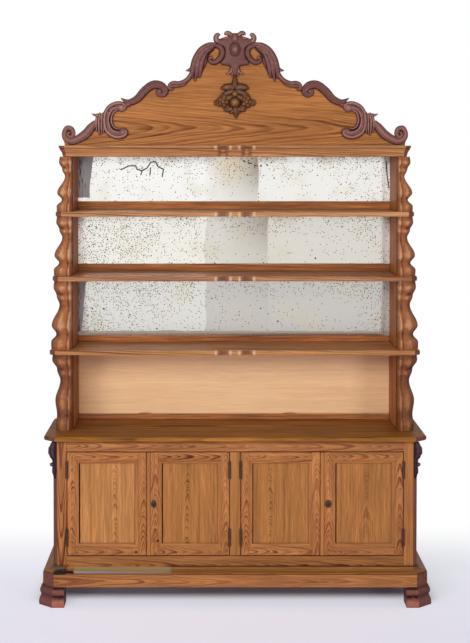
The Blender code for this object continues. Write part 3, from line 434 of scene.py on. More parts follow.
def old_iron(name):
    """Hand-filed iron, browned by age: dull dark metal with a fine rust bloom."""
    material, tree, shader = new_look(name)
    place = add(tree, "TexCoord")["Object"]
    bloom = add(tree, "TexNoise", {"Vector": place, "Scale": 1 / 0.006, "Detail": 4.0})[0]
    share = add(tree, "MapRange", (bloom, 0.42, 0.66))[0]
    feed(tree, shader, {
        "Base Color": lay_over(tree, colour("3C251B"), [(share, colour("623C2A"))]),
        "Roughness": add(tree, "MapRange", {0: share, 3: 0.48, 4: 0.75})[0],
        "Metallic": 0.35,
        "Normal": add(tree, "Bump", {"Height": bloom, "Strength": 0.3, "Distance": 0.0006})[0],
    })
    return material


def dress(node, look):
    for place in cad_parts[node].material_slots:
        place.link = "OBJECT"
        place.material = look


def fresh():
    """An empty mesh that carries each point's place in its ring, and how pale the carving is painted there,
    from its height, wear and painted light.
    """
    bm = bmesh.new()
    bm.verts.layers.int.new("ring_place")
    bm.verts.layers.float.new("relief")
    return bm


def as_mesh(name, bm):
    mesh = bpy.data.meshes.new(name)
    bm.to_mesh(mesh)
    bm.free()
    return mesh


def show(name, data):
    """Put a mesh, lamp or camera in the scene as an object."""
    obj = bpy.data.objects.new(name, data)
    bpy.context.scene.collection.objects.link(obj)
    return obj


def piece(name, bm, look, body="cabinet", instead=(), sharp=35):
    """Make a finished piece that rides on a body and stands for CAD nodes."""
    bmesh.ops.recalc_face_normals(bm, faces=bm.faces)
    mesh = as_mesh(name, bm)
    mesh.materials.append(look)
    mesh.shade_smooth()
    mesh.set_sharp_from_angle(angle=math.radians(sharp))
    obj = show(name, mesh)
    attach(obj, body)
    if instead:
        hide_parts(*instead)
    return obj


def board(bm, low, high):
    """A box between two corners."""
    low, high = Vector(low), Vector(high)
    place = Matrix.Translation((low + high) / 2) @ Matrix.Diagonal((*(high - low), 1.0))
    bmesh.ops.create_cube(bm, size=1.0, matrix=place)


def ease(bm, width=EASED, segments=2):
    """Round off every arris, which is an edge that turns by more than about 30 degrees."""
    edges = [e for e in bm.edges if e.is_manifold and e.calc_face_angle() > ARRIS]
    bmesh.ops.bevel(bm, geom=edges, offset=width, offset_type="OFFSET", affect="EDGES",
                    segments=segments, profile=0.5, material=-1, clamp_overlap=True)


def slice_off(bm, point, normal):
    """Saw off what lies beyond a plane and close the cut."""
    geom = bm.verts[:] + bm.edges[:] + bm.faces[:]
    made = bmesh.ops.bisect_plane(bm, geom=geom, plane_co=point, plane_no=normal, clear_outer=True)
    edges = [g for g in made["geom_cut"] if isinstance(g, bmesh.types.BMEdge)]
    bmesh.ops.holes_fill(bm, edges=edges, sides=0)


def join(bm, part):
    """Move a finished part into another mesh."""
    mesh = as_mesh("part", part)
    bm.from_mesh(mesh)
    bpy.data.meshes.remove(mesh)


def loft(bm, sections, relief=None):
    """Skin equal rings of points: a filled circle is moved to the first, and extruded to each other."""
    mark = bm.verts.layers.int["ring_place"]
    shade = bm.verts.layers.float["relief"]
    ring = bmesh.ops.create_circle(bm, cap_ends=True, segments=len(sections[0]), radius=1.0)["verts"]
    for index, vert in enumerate(ring):
        vert[mark] = index
    edges = list(ring[0].link_faces[0].edges)
    for row, section in enumerate(sections):
        if row:
            made = bmesh.ops.extrude_edge_only(bm, edges=edges)["geom"]
            ring = [g for g in made if isinstance(g, bmesh.types.BMVert)]
            edges = [g for g in made if isinstance(g, bmesh.types.BMEdge) and g.is_boundary]
        for vert in ring:
            vert.co = section[vert[mark]]
            vert[shade] = relief[row][vert[mark]] if relief else 0.5
    bmesh.ops.holes_fill(bm, edges=edges, sides=0)


def dome(bm, centre, size, turn=0.0, relief=0.75):
    """A swelling of carving, paler on its crown than at its foot."""
    shade = bm.verts.layers.float["relief"]
    place = Matrix.Translation(centre) @ Matrix.Rotation(turn, 4, "Y") @ Matrix.Diagonal((*size, 1.0))
    made = bmesh.ops.create_uvsphere(bm, u_segments=20, v_segments=12, radius=1.0, matrix=place)
    for vert in made["verts"]:
        vert[shade] = relief * max((centre.y - vert.co.y) / size[1], 0.0) ** 0.5


def eased(keys, at, column):
    """Value of a column of keys at a place, swinging smoothly from each key to the next."""
    for low, high in zip(keys, keys[1:]):
        if at <= high[0]:
            share = (at - low[0]) / (high[0] - low[0])
            share = (1 - math.cos(math.pi * share)) / 2
            return low[column] + (high[column] - low[column]) * share
    return keys[-1][column]


def spline(before, start, end, after, t):
    """Catmull-Rom blend from start to end."""
    square = 2 * before - 5 * start + 4 * end - after
    cube = 3 * (start - end) + after - before
    return start + 0.5 * ((end - before) * t + square * t ** 2 + cube * t ** 3)


def smooth_path(points, steps):
    """A curve through given points, read at a number of steps in each span."""
    ends = [points[0]] + list(points) + [points[-1]]
    read = []
    for k in range(1, len(ends) - 2):
        for s in range(steps):
            read.append(tuple(spline(*values, s / steps) for values in zip(*ends[k - 1:k + 3])))
    read.append(tuple(points[-1]))
    return read


# Base

# Knots in the door frames: member, place on the face, radius
KNOTS = {"left_passive_door_bottom_rail": ((-0.424, FRAME_LOW.y, 0.225), 0.007),
         "left_leading_door_left_stile": ((-0.331, FRAME_LOW.y, 0.273), 0.007)}
# Heart line of each door panel, where it shows as a narrow strip
HEART_LINES = {"left_passive_door": -0.515, "left_leading_door": -0.205,
               "right_passive_door": 0.150, "right_leading_door": 0.560}
# Painted shade along the rails where the doors close against them, and in the gaps beside shrunk panels
DOOR_SHADE = 0.003
RAIL_SHADE = "3E1C10"
GAP_SHADE = "1C0B08"
# Pith depth, taper, ring and figure of each wood
POST_GRAIN = {"left": (0.014, -0.055, 0.007, 1.4), "right": (0.004, 0.02, 0.005, 0.9)}
RAIL_GRAIN = {"head": (0.016, 0.06, 0.005, 1.1), "sill": (0.016, 0.06, 0.005, 1.2)}
STILE_GRAIN = (0.006, 0.03, 0.004, 0.9)
BEAD_GRAIN = (0.025, 0.04, 0.004, 0.6)
MEMBER_GRAIN = {"X": (0.018, 0.09, 0.0045, 1.2), "Z": (0.018, 0.13, 0.0045, 1.2)}
PANEL_GRAIN = (0.0015, 0.22, 0.006, 1.3)
# Where the heart lies: of a post and the stile out from the middle, of a bead in from its edge, of a rail
# across and up from its foot, of a door member off its middle, of a panel up from the floor
POST_HEART, STILE_HEART, BEAD_HEART = 0.745, 0.03, 0.03
RAIL_HEART, MEMBER_HEART = (0.2, 0.024), (0.004, -0.003)
PANEL_HEART_Z = 0.43
# Torn wood that the lost moulding left under the sill: how far it hangs down, how much lower still
# towards the right, its depth and thickness
TEAR_LOW = 0.002
TEAR_DROP = 0.007
TEAR_D = 0.012
TEAR_T = 0.003
# The broken end of the moulding beside it is dull, and dark with dirt below: far corner and tone of each
STUB_LOW = (-0.775, -1.0, 0.12)
STUB_MARKS = (((-0.70, 1.0, 0.20), "604A38"), ((-0.70, 1.0, 0.150), "2C2220"))
STUB_RAGGED = 0.03
# How far each panel has shrunk from the left stile: a strip of the panel that wide beyond the lip is
# painted nearly black, as the shade in the gap
SHRUNK = {"left_passive_door": 0.0060, "left_leading_door": 0.0055, "right_passive_door": 0.0040,
          "right_leading_door": 0.0055}
# Stretch of the sill that the lost moulding leaves bare
BARE_LOW, BARE_HIGH = (-0.688, -1.0, 0.10), (-0.269, 1.0, 0.161)
BARE_TONE = "A08458"


def make_face_frame():
    low, high = FRAME_LOW, FRAME_HIGH
    middle_z = (low.z + high.z) / 2
    for hand, side in HANDS:
        bm = fresh()
        x = sorted((side * high.x, side * (high.x - POST_W)))
        board(bm, (x[0], low.y, low.z), (x[1], high.y, high.z))
        slice_off(bm, (side * high.x, low.y + BASE_CANT, 0), (side, -1, 0))
        ease(bm)
        grain = ("Z", "Y", (side * POST_HEART, low.y, middle_z), *POST_GRAIN[hand])
        look = pitch_pine(f"post_pine_{hand}", FRAME_PINE, *grain, cheek=SIDE_SHADE)
        piece(f"face_post_{hand}", bm, look, instead=("face_frame",) if side < 0 else ())
    inner = high.x - POST_W
    sill_top, head_foot = low.z + SILL_H, high.z - HEAD_H
    rails = (("head", PLINTH_PINE, head_foot, high.z, head_foot),
             ("sill", SILL_PINE, low.z, sill_top, sill_top - DOOR_SHADE))
    for name, tones, bottom, top, shade_from in rails:
        bm = fresh()
        board(bm, (-inner, low.y, bottom), (inner, high.y, top))
        ease(bm)
        middle = (RAIL_HEART[0], low.y, bottom + RAIL_HEART[1])
        look = pitch_pine(f"{name}_rail_pine", tones, "X", "Y", middle, *RAIL_GRAIN[name])
        # Painted shade along the edge that the doors close against
        patch_over(look, (-1, -1, shade_from), (1, 1, shade_from + DOOR_SHADE), RAIL_SHADE, FINE_EDGE)
        if name == "sill":
            patch_over(look, BARE_LOW, BARE_HIGH, BARE_TONE)
            tear = fresh()
            foot = low.z - TEAR_LOW
            half_way = (BARE_LOW[0] + BARE_HIGH[0]) / 2
            board(tear, (BARE_LOW[0], low.y + EASED, foot), (BARE_HIGH[0], low.y + TEAR_D, foot + TEAR_T))
            hanging = [vert for vert in tear.verts if vert.co.z < low.z and vert.co.x > half_way]
            bmesh.ops.translate(tear, verts=hanging, vec=(0, 0, -TEAR_DROP))
            join(bm, tear)
        piece(f"face_{name}_rail", bm, look)
    bm = fresh()
    board(bm, (-STILE_W / 2, low.y, sill_top), (STILE_W / 2, high.y, head_foot))
    ease(bm)
    middle = (STILE_HEART, low.y, middle_z)
    look = pitch_pine("middle_stile_pine", PANEL_PINE, "Z", "Y", middle, *STILE_GRAIN)
    piece("face_middle_stile", bm, look)


def moulded_lips(bm, corners, low, high):
    """The sloped front lip and flat back lip along a door member's inner edge, mitred at both ends."""
    (start, start_turn), (end, end_turn) = corners
    flat = RAIL_W - BEVEL_W
    depth = high.y - low.y
    groove = BEVEL_D + (depth - BEVEL_D - PANEL_T) / 2
    front = ((flat, QUIRK), (RAIL_W, BEVEL_D), (RAIL_W, groove), (flat, groove))
    back = ((flat, groove + PANEL_T), (RAIL_W, groove + PANEL_T), (RAIL_W, depth), (flat, depth))
    for section in (front, back):
        loft(bm, [[Vector((x + sx * d, low.y + y, z + sz * d)) for d, y in section]
                  for (x, z), (sx, sz) in ((start, start_turn), (end, end_turn))])


def door_members(low, high):
    """Stiles run the door's full height and rails lie between them."""
    flat = RAIL_W - BEVEL_W
    left, right = low.x + flat, high.x - flat
    left_foot, right_foot = ((low.x, low.z), (1, 1)), ((high.x, low.z), (-1, 1))
    left_head, right_head = ((low.x, high.z), (1, -1)), ((high.x, high.z), (-1, -1))
    return (
        ("left_stile", "Z", (low.x, low.z), (left, high.z), (left_foot, left_head)),
        ("right_stile", "Z", (right, low.z), (high.x, high.z), (right_foot, right_head)),
        ("bottom_rail", "X", (left, low.z), (right, low.z + flat), (left_foot, right_foot)),
        ("top_rail", "X", (left, high.z - flat), (right, high.z), (left_head, right_head)),
    )


def closing_bead(door, edge, low, high):
    """The half-round bead that a leading door laps over the gap."""
    steps = 14
    outline = [(edge - BEAD_W, low.y + BEAD_D), (edge, low.y + BEAD_D), (edge, low.y)]
    for k in range(1, steps):
        turn = math.pi * k / steps
        outline.append((edge - BEAD_W * (1 - math.cos(turn)) / 2, low.y - BEAD_PROUD * math.sin(turn)))
    outline.append((edge - BEAD_W, low.y))
    bm = fresh()
    loft(bm, [[Vector((x, y, z)) for x, y in outline] for z in (low.z + CLEAR, high.z - CLEAR)])
    middle = (edge - BEAD_HEART, low.y, low.z)
    look = pitch_pine(f"{door}_bead_pine", FRAME_PINE, "Z", "Y", middle, *BEAD_GRAIN)
    piece(f"{door}_closing_bead", bm, look, body=door)


# Half width of the keyhole's slot as a share of its radius, and how far the slot's cutter stands out
SLOT_SHARE = 0.62
SLOT_PAST = 0.01


def drill_keyhole(obj, x, z, front, back):
    """Cut the keyhole, a round hole with a slot below it, right through a stile."""
    half = KEYHOLE_R * SLOT_SHARE
    bm = bmesh.new()
    turn = Matrix.Translation((x, (front + back) / 2, z)) @ Matrix.Rotation(math.pi / 2, 4, "X")
    bmesh.ops.create_cone(bm, cap_ends=True, segments=24, radius1=KEYHOLE_R, radius2=KEYHOLE_R,
                          depth=2 * (back - front), matrix=turn)
    board(bm, (x - half, front - SLOT_PAST, z - KEYHOLE_SLOT), (x + half, back + SLOT_PAST, z))
    cutter = show("keyhole", as_mesh("keyhole", bm))
    hole = obj.modifiers.new("keyhole", "BOOLEAN")
    hole.object = cutter
    hole.solver = "EXACT"
    hole.use_self = True
    bpy.context.view_layer.update()
    cut = bpy.data.meshes.new_from_object(obj.evaluated_get(bpy.context.evaluated_depsgraph_get()))
    obj.modifiers.clear()
    obj.data = cut
    bpy.data.objects.remove(cutter)


def make_door(hand, leaf):
    door = f"{hand}_{leaf}_door"
    low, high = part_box(f"{door}_frame")
    front = FRAME_LOW.y
    low.y, high.y = front, FRAME_HIGH.y
    leading = leaf == "leading"
    if leading:
        closing_bead(door, low.x + BEAD_W, low, high)
        low.x += BEAD_W
    for name, along, start, end, corners in door_members(low, high):
        bm = fresh()
        board(bm, (start[0], low.y, start[1]), (end[0], high.y, end[1]))
        ease(bm, FINE_EASED)
        moulded_lips(bm, corners, low, high)
        x, z = ((a + b) / 2 + off for a, b, off in zip(start, end, MEMBER_HEART))
        look = pitch_pine(f"{door}_{name}_pine", FRAME_PINE, along, "Y", (x, front, z), *MEMBER_GRAIN[along],
                          knot=KNOTS.get(f"{door}_{name}"))
        member = piece(f"{door}_{name}", bm, look, body=door,
                       instead=(f"{door}_frame",) if name == "left_stile" else ())
        if leading and name == "left_stile":
            plate_low, plate_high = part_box(f"escutcheon_{hand}")
            middle = (plate_low + plate_high) / 2
            drill_keyhole(member, middle.x, middle.z, low.y, high.y)
    tones = FIRST_PANEL_PINE if door == "left_passive_door" else PANEL_PINE
    middle = (HEART_LINES[door], front, PANEL_HEART_Z)
    look = pitch_pine(f"{door}_panel_pine", tones, "Z", "Y", middle, *PANEL_GRAIN, spread=1.0)
    edge = low.x + RAIL_W
    # Painted shade: nearly black from the stile to the far side of the gap
    patch_over(look, (low.x, -1.0, low.z), (edge + SHRUNK[door], 1.0, high.z), GAP_SHADE, FINE_EDGE)
    dress(f"{door}_panel", look)
    make_hinge_leaves(hand, leaf, high.x if leading else low.x, 1 if leading else -1)


HINGE_LEAF_T = 0.0009
HINGE_LEAF_D = 0.015
HINGE_LEAF_OFF = 0.0001
HINGE_LEAF_EASED = 0.0003
SCREW_R = 0.0026
SCREW_PROUD = 0.0004
# Screws of a leaf: shares of its height and its depth
SCREWS = ((0.18, 0.6), (0.5, 0.35), (0.82, 0.6))


def make_hinge_leaves(hand, leaf, edge, toward):
    """The door's leaf of each butt hinge, screwed to the door's edge beside the knuckle."""
    look = old_iron(f"{hand}_{leaf}_leaf_iron")
    for level in ("lower", "upper"):
        low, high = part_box(f"{hand}_{leaf}_hinge_{level}")
        x = sorted((edge + toward * HINGE_LEAF_OFF, edge + toward * HINGE_LEAF_T))
        near = FRAME_LOW.y + CLEAR
        bm = fresh()
        board(bm, (x[0], near, low.z), (x[1], near + HINGE_LEAF_D, high.z))
        ease(bm, HINGE_LEAF_EASED)
        for share, deep in SCREWS:
            z = low.z + share * (high.z - low.z)
            place = Matrix.Translation((edge + toward * HINGE_LEAF_T, near + deep * HINGE_LEAF_D, z))
            place = place @ Matrix.Diagonal((SCREW_PROUD, SCREW_R, SCREW_R, 1))
            bmesh.ops.create_uvsphere(bm, u_segments=14, v_segments=8, radius=1.0, matrix=place)
        piece(f"{hand}_{leaf}_door_leaf_{level}", bm, look, body=f"{hand}_{leaf}_door")


# Profile of a foot: share of its height, growth beyond the plinth as a share of the flare
FOOT_PROFILE = ((0.0, 0.90), (0.10, 1.0), (0.28, 0.95), (0.42, 0.62), (0.54, 0.42),
                (0.60, 0.55), (0.74, 0.74), (0.88, 0.58), (1.0, 0.10))
# How far out the cove of the foot reaches: inside this the foot is painted dark, as shade in the cove,
# and it is painted paler the further it swells out beyond
FOOT_COVE = 0.40


def foot_outline(grow):
    cut = PLINTH_CANT + grow * (2 - math.sqrt(2))
    outer, near = PLINTH_HIGH.x + grow, PLINTH_LOW.y - grow
    inner, rear = PLINTH_HIGH.x - FOOT_W, PLINTH_LOW.y + FOOT_W
    return [(inner, rear), (inner, near), (outer - cut, near), (outer, near + cut), (outer, rear)]


def make_front_feet():
    look = stained_carving("foot_stain", RED_FOOT, 0.15, SIDE_SHADE)
    for hand, side in HANDS:
        low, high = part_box(f"foot_front_{hand}")
        tall = PLINTH_LOW.z - CLEAR - low.z
        sections, relief = [], []
        for share, grow in smooth_path(FOOT_PROFILE, 6):
            outline = foot_outline(grow * FOOT_FLARE)
            sections.append([Vector((side * x, y, low.z + share * tall)) for x, y in outline])
            # Painted shade in the cove, painted paler where the foot swells out
            relief.append([min(max((grow - FOOT_COVE) / (1 - FOOT_COVE), 0.0), 1.0)] * len(outline))
        bm = fresh()
        loft(bm, sections, relief)
        inner = PLINTH_HIGH.x - FOOT_W + FOOT_BLOCK_INSET
        outer = FRAME_HIGH.x - FOOT_BLOCK_INSET
        x = sorted((side * inner, side * outer))
        near, rear = FRAME_LOW.y + FOOT_BLOCK_INSET, PLINTH_LOW.y + FOOT_W - FOOT_BLOCK_INSET
        block = fresh()
        board(block, (x[0], near, low.z + tall), (x[1], rear, high.z))
        slice_off(block, (side * outer, near + BASE_CANT, 0), (side, -1, 0))
        join(bm, block)
        piece(f"front_foot_{hand}", bm, look, instead=(f"foot_front_{hand}",), sharp=28)


CORBEL_H = 0.165
# Corbel from the top: share of the height, half width as a share of the canted corner's, projection
CORBEL_KEYS = ((0.0, 0.83, 0.012), (0.08, 0.92, 0.026), (0.18, 0.98, 0.037), (0.29, 0.98, 0.038),
               (0.40, 0.93, 0.029), (0.50, 0.87, 0.016), (0.58, 0.83, 0.014), (0.66, 0.82, 0.015),
               (0.80, 0.78, 0.017), (0.92, 0.55, 0.010), (1.0, 0.21, 0.004))
CORBEL_KNOB_AT = 0.61
CORBEL_KNOB_R = 0.0085
# Flutes of the corbel, how much they cut of its projection, and the projection from which it is
# painted palest
CORBEL_FLUTES = 7
CORBEL_FLUTE_CUT = 0.16
CORBEL_PALEST = 0.030


def make_corbels():
    look = stained_carving("corbel_stain", DARK_CARVING)
    sides, levels = 32, 56
    for hand, side in HANDS:
        across = Vector((side, 1, 0)).normalized()
        out = Vector((side, -1, 0)).normalized()
        half = BASE_CANT / 2
        middle = Vector((side * (FRAME_HIGH.x - half), FRAME_LOW.y + half, FRAME_HIGH.z - CLEAR))
        sections, relief = [], []
        for k in range(levels + 1):
            level = k / levels
            wide = eased(CORBEL_KEYS, level, 1) * BASE_CANT / math.sqrt(2)
            deep = eased(CORBEL_KEYS, level, 2)
            centre = middle + out * CLEAR + Vector((0, 0, -level * CORBEL_H))
            ring, tones = [], []
            for s in range(sides):
                turn = math.pi * s / (sides - 1)
                flute = 0.5 + 0.5 * math.cos(CORBEL_FLUTES * (turn - math.pi / 2))
                push = deep * math.sin(turn) * (1 - CORBEL_FLUTE_CUT * (1 - flute))
                ring.append(centre + across * wide * math.cos(turn) + out * push)
                # Paler on the front of each ridge, darker in the flutes, on the sides and where it projects
                # less: wear, with painted highlight and painted shade
                wear_and_light = (0.25 + 0.75 * flute) * (0.4 + 0.6 * math.sin(turn))
                tones.append(wear_and_light * min(1.0, deep / CORBEL_PALEST))
            sections.append(ring)
            relief.append(tones)
        bm = fresh()
        loft(bm, sections, relief)
        reach = eased(CORBEL_KEYS, CORBEL_KNOB_AT, 2) + CORBEL_KNOB_R / 2
        knob = middle + out * reach + Vector((0, 0, -CORBEL_KNOB_AT * CORBEL_H))
        dome(bm, knob, (CORBEL_KNOB_R,) * 3, relief=0.9)
        piece(f"acanthus_corbel_{hand}", bm, look, instead=(f"corbel_{hand}",), sharp=60)


# Rack

BRACKET_WRAP = 0.050
BRACKET_SLANT = 0.75
BRACKET_CROWN = 0.010
BRACKET_FLANK = 0.020
BRACKET_ROLL = 0.002
ROLL_HALF = 0.04
ROLL_AT = (0.725, 0.875)
QUIRK_AT, QUIRK_HALF, QUIRK_D = 0.13, 0.05, 0.0024
SHELF_STEP = 0.0128
# Scroll brackets, from foot to head: share of the height, outer edge beyond the shelf above,
# front arris behind that shelf's front edge, inner arris beyond the end board's inner face
SHORT_BRACKET = ((0.0, SHELF_STEP - 0.001, 0.010, 0.014), (0.09, SHELF_STEP - 0.0005, 0.009, 0.014),
                 (0.21, -0.011, 0.018, 0.011), (0.335, 0.009, 0.006, 0.014), (0.64, -0.024, 0.038, 0.009),
                 (0.77, -0.012, 0.026, 0.009), (0.90, 0.001, 0.012, 0.010), (1.0, -0.002, 0.014, 0.010))
LONG_BRACKET = ((0.0, -0.025, 0.006, 0.016), (0.08, -0.023, 0.004, 0.015), (0.20, -0.028, 0.010, 0.012),
                (0.39, -0.021, 0.005, 0.012), (0.645, -0.041, 0.036, 0.009), (0.79, -0.027, 0.026, 0.009),
                (0.92, -0.006, 0.010, 0.010), (1.0, -0.008, 0.012, 0.010))
# How pale a bracket is painted across its face, and from foot to head: wear on its ridges, painted
# highlight where it faces the light, and painted shade in its quirk, on its outer side and where it turns
# down
WEAR_AND_LIGHT_ACROSS = ((0.0, 1.0), (0.06, 0.95), (0.13, 0.22), (0.22, 0.70), (0.45, 0.90), (0.75, 0.45),
                 (1.0, 0.25))
WEAR_AND_LIGHT_UP = ((0.0, 0.90), (0.09, 1.0), (0.21, 0.55), (0.335, 1.15), (0.50, 0.95), (0.62, 0.55),
             (0.70, 0.65), (0.75, 1.05), (0.82, 0.80), (0.90, 1.15), (0.955, 0.70), (1.0, 0.80))
# Eye of the bracket's volute: shares of the height and of the face, depth; it is painted darker, as shade
# in its dish
VOLUTE_AT, VOLUTE_HALF, VOLUTE_D = (0.80, 0.55), (0.022, 0.20), 0.004
BAYS = (("bottom", "lower_shelf"), ("lower", "middle_shelf"), ("middle", "upper_shelf"),
        ("top", "cornice_shelf"))


def bracket_roll(level):
    away = min(abs(level - at) for at in ROLL_AT)
    return BRACKET_ROLL * math.cos(math.pi / 2 * away / ROLL_HALF) ** 2 if away < ROLL_HALF else 0.0


def bracket_section(keys, level, half, front):
    """Outline of a bracket at a level, and how pale it is painted at each point, with wear and painted
    light.
    """
    inner_x = END_IN + CLEAR + eased(keys, level, 3)
    front_y = front + eased(keys, level, 2) - bracket_roll(level)
    outer_x = half + eased(keys, level, 1)
    face = Vector((outer_x - inner_x, (outer_x - inner_x) * BRACKET_SLANT))
    ahead = Vector((face.y, -face.x)).normalized()
    start = Vector((inner_x, front_y))
    wear_and_light = eased(WEAR_AND_LIGHT_UP, level, 1)
    points, tones = [(END_IN + CLEAR, END_FRONT - CLEAR)], [0.15]
    steps = 20
    for k in range(steps + 1):
        s = k / steps
        bulge = BRACKET_CROWN * math.sin(math.pi * s)
        quirk = QUIRK_D * math.exp(-((s - QUIRK_AT) / QUIRK_HALF) ** 2)
        far = math.hypot((level - VOLUTE_AT[0]) / VOLUTE_HALF[0], (s - VOLUTE_AT[1]) / VOLUTE_HALF[1])
        eye = math.exp(-far ** 2)
        at = start + face * s + ahead * (bulge - quirk - VOLUTE_D * eye)
        points.append((at.x, at.y))
        # Painted shade darkens the volute's eye
        tones.append(wear_and_light * eased(WEAR_AND_LIGHT_ACROSS, s, 1) * (1 - 0.8 * eye))
    # The flank and the back, turned away from the light, are painted dark, as shade
    points += [(outer_x - BRACKET_CROWN, start.y + face.y + BRACKET_FLANK),
               (END_OUT + CLEAR, END_FRONT + BRACKET_WRAP), (END_OUT + CLEAR, END_FRONT - CLEAR)]
    tones += [0.3, 0.3, 0.15]
    return points, tones


def make_brackets():
    upper = stained_carving("bracket_stain", BRACKET_STAIN)
    lowest = stained_carving("bottom_bracket_stain", BOTTOM_BRACKET_STAIN)
    levels = 80
    floors = [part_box("counter_top")[1].z] + [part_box(shelf)[1].z for _, shelf in BAYS[:-1]]
    for (bay, shelf), floor in zip(BAYS, floors):
        keys = LONG_BRACKET if bay == "bottom" else SHORT_BRACKET
        shelf_low, shelf_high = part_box(shelf)
        low, high = floor + CLEAR, shelf_low.z - CLEAR
        for hand, side in HANDS:
            sections, relief = [], []
            for k in range(levels + 1):
                points, tones = bracket_section(keys, k / levels, shelf_high.x, shelf_low.y)
                z = low + (high - low) * k / levels
                sections.append([Vector((side * x, y, z)) for x, y in points])
                relief.append(tones)
            bm = fresh()
            loft(bm, sections, relief)
            look = lowest if bay == "bottom" else upper
            name = f"{bay}_bracket_{hand}"
            piece(f"{bay}_scroll_bracket_{hand}", bm, look, instead=(name,), sharp=40)


LEDGE_H = 0.0245
HUMP_AT = (-0.401, 0.252)
HUMP_HALF = 0.030
HUMP_H = 0.0045
HUMP_T = 0.009
HUMP_HEART = 0.02


def make_ledge_humps():
    """Two low swells on the bottom ledge's top edge, in front of the pale panel."""
    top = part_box("counter_top")[1].z + LEDGE_H
    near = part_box("rack_back")[0].y
    steps = 16
    for name, middle in zip(("left", "right"), HUMP_AT):
        turns = [math.pi * k / steps for k in range(steps + 1)]
        outline = [(middle + HUMP_HALF * math.cos(turn), top + HUMP_H * math.sin(turn)) for turn in turns]
        bm = fresh()
        loft(bm, [[Vector((x, y, z)) for x, z in outline] for y in (near, near + HUMP_T)])
        ease(bm, FINE_EASED)
        look = pitch_pine(f"hump_{name}_pine", LEDGE_PINE, "X", "Y", (middle, near, top - HUMP_HEART))
        piece(f"ledge_hump_{name}", bm, look)


# Crest, half of it, in millimetres: out from the middle, up from the crest's datum, radius of the rib
MM = 0.001

END_SCROLL = ((719, 67, 5), (724, 56, 7), (714, 44, 9), (700, 58, 9.5), (707, 80, 10), (727, 84, 11),
              (739, 63, 11), (733, 39, 13), (708, 28, 15), (678, 38, 18), (645, 60, 20), (622, 88, 18),
              (603, 112, 10))
# Acanthus at the end of the scroll: a bed, ridges round it in a C, and a fluted leaf that hangs beside them
LEAF_BED = ((498, 173, 14.7), (537, 162, 16.5), (563, 127, 18.2), (554, 89, 18.2), (528, 63, 17.3),
            (489, 58, 15.6))
LEAF_RIDGES = (
    ((480, 164, 5.2), (474, 177, 6.9), (487, 190, 8.2), (513, 191, 9.1), (541, 178, 9.1), (559, 154, 8.7),
     (565, 123, 8.2), (563, 91, 8.7), (550, 65, 9.1), (526, 49, 9.5), (500, 45, 10), (476, 54, 9.5),
     (471, 70, 7.8), (482, 76, 5.6)),
    ((495, 170, 4.3), (514, 173, 6.1), (532, 163, 6.5), (544, 143, 6.1), (549, 119, 6.1), (544, 93, 6.5),
     (530, 73, 6.5), (508, 65, 6.5), (491, 68, 3.9)),
    ((511, 159, 2.6), (524, 153, 4.8), (533, 136, 5.2), (535, 115, 5.2), (529, 95, 5.2), (515, 83, 4.3),
     (500, 83, 2.2)),
    ((592, 147, 5.2), (599, 121, 6.5), (601, 93, 6.1), (597, 68, 1.3)),
    ((583, 151, 5.2), (589, 119, 6.1), (589, 84, 5.6), (586, 51, 1.3)),
    ((576, 145, 4.8), (578, 110, 5.2), (578, 80, 4.8), (577, 55, 1.3)),
    ((569, 132, 3.9), (570, 106, 4.8), (569, 82, 4.3), (570, 60, 1.3)),
    ((589, 140, 8), (605, 140, 6), (620, 146, 1.5)),
)
S_SCROLL = ((494, 214, 1.9), (460, 196, 13), (424, 210, 16.5), (391, 246, 17.8), (355, 271, 18.3),
            (321, 268, 17.8), (302, 246, 15), (312, 228, 11.2), (331, 232, 9), (333, 248, 6.4),
            (321, 252, 4))
S_TAIL = ((444, 195, 9.4), (465, 184, 9.4), (481, 177, 1.9))
SMALL_SCROLL = ((267, 259, 3.6), (273, 251, 5.6), (284, 256, 7.4), (282, 270, 8.5), (267, 279, 9.5),
                (241, 278, 9.8), (213, 289, 10), (193, 310, 10.5), (181, 335, 11))
# The big scroll beside the shield: a broad flank carved into four veins, and the ring it curls into
FLANK = ((96, 436, 15.2), (133, 415, 26.8), (152, 378, 29.2), (161, 342, 25.6), (165, 305, 9.1))
FLANK_VEINS = (
    ((81, 446, 7.9), (114, 443, 11), (146, 423, 12.8), (168, 390, 13.4), (179, 357, 13.4), (184, 326, 11),
     (182, 297, 1.8)),
    ((93, 437, 8.5), (125, 425, 11.6), (148, 398, 12.8), (161, 366, 13.4), (165, 332, 11.6),
     (173, 285, 1.8)),
    ((102, 429, 7.3), (126, 410, 10.4), (138, 384, 11.6), (146, 357, 11.6), (150, 329, 9.7),
     (154, 299, 1.5)),
    ((113, 418, 5.5), (124, 393, 7.3), (129, 370, 7.9), (132, 348, 2.4)),
)
RING = ((96, 442, 11), (69, 438, 12.2), (55, 420, 12.8), (56, 399, 12.8), (69, 380, 12.2), (87, 368, 11),
        (105, 371, 9.1), (111, 385, 6.7), (101, 393, 3.7))
SHOULDER = ((183, 342, 11), (198, 335, 7.3), (213, 332, 1.5))
TOP_EDGE = ((605, 103, 7), (560, 153, 7), (510, 179, 7), (470, 189, 7), (425, 208, 7), (385, 249, 7),
            (345, 269, 7), (305, 255, 7), (272, 265, 7), (225, 272, 7), (192, 313, 7), (170, 365, 7))
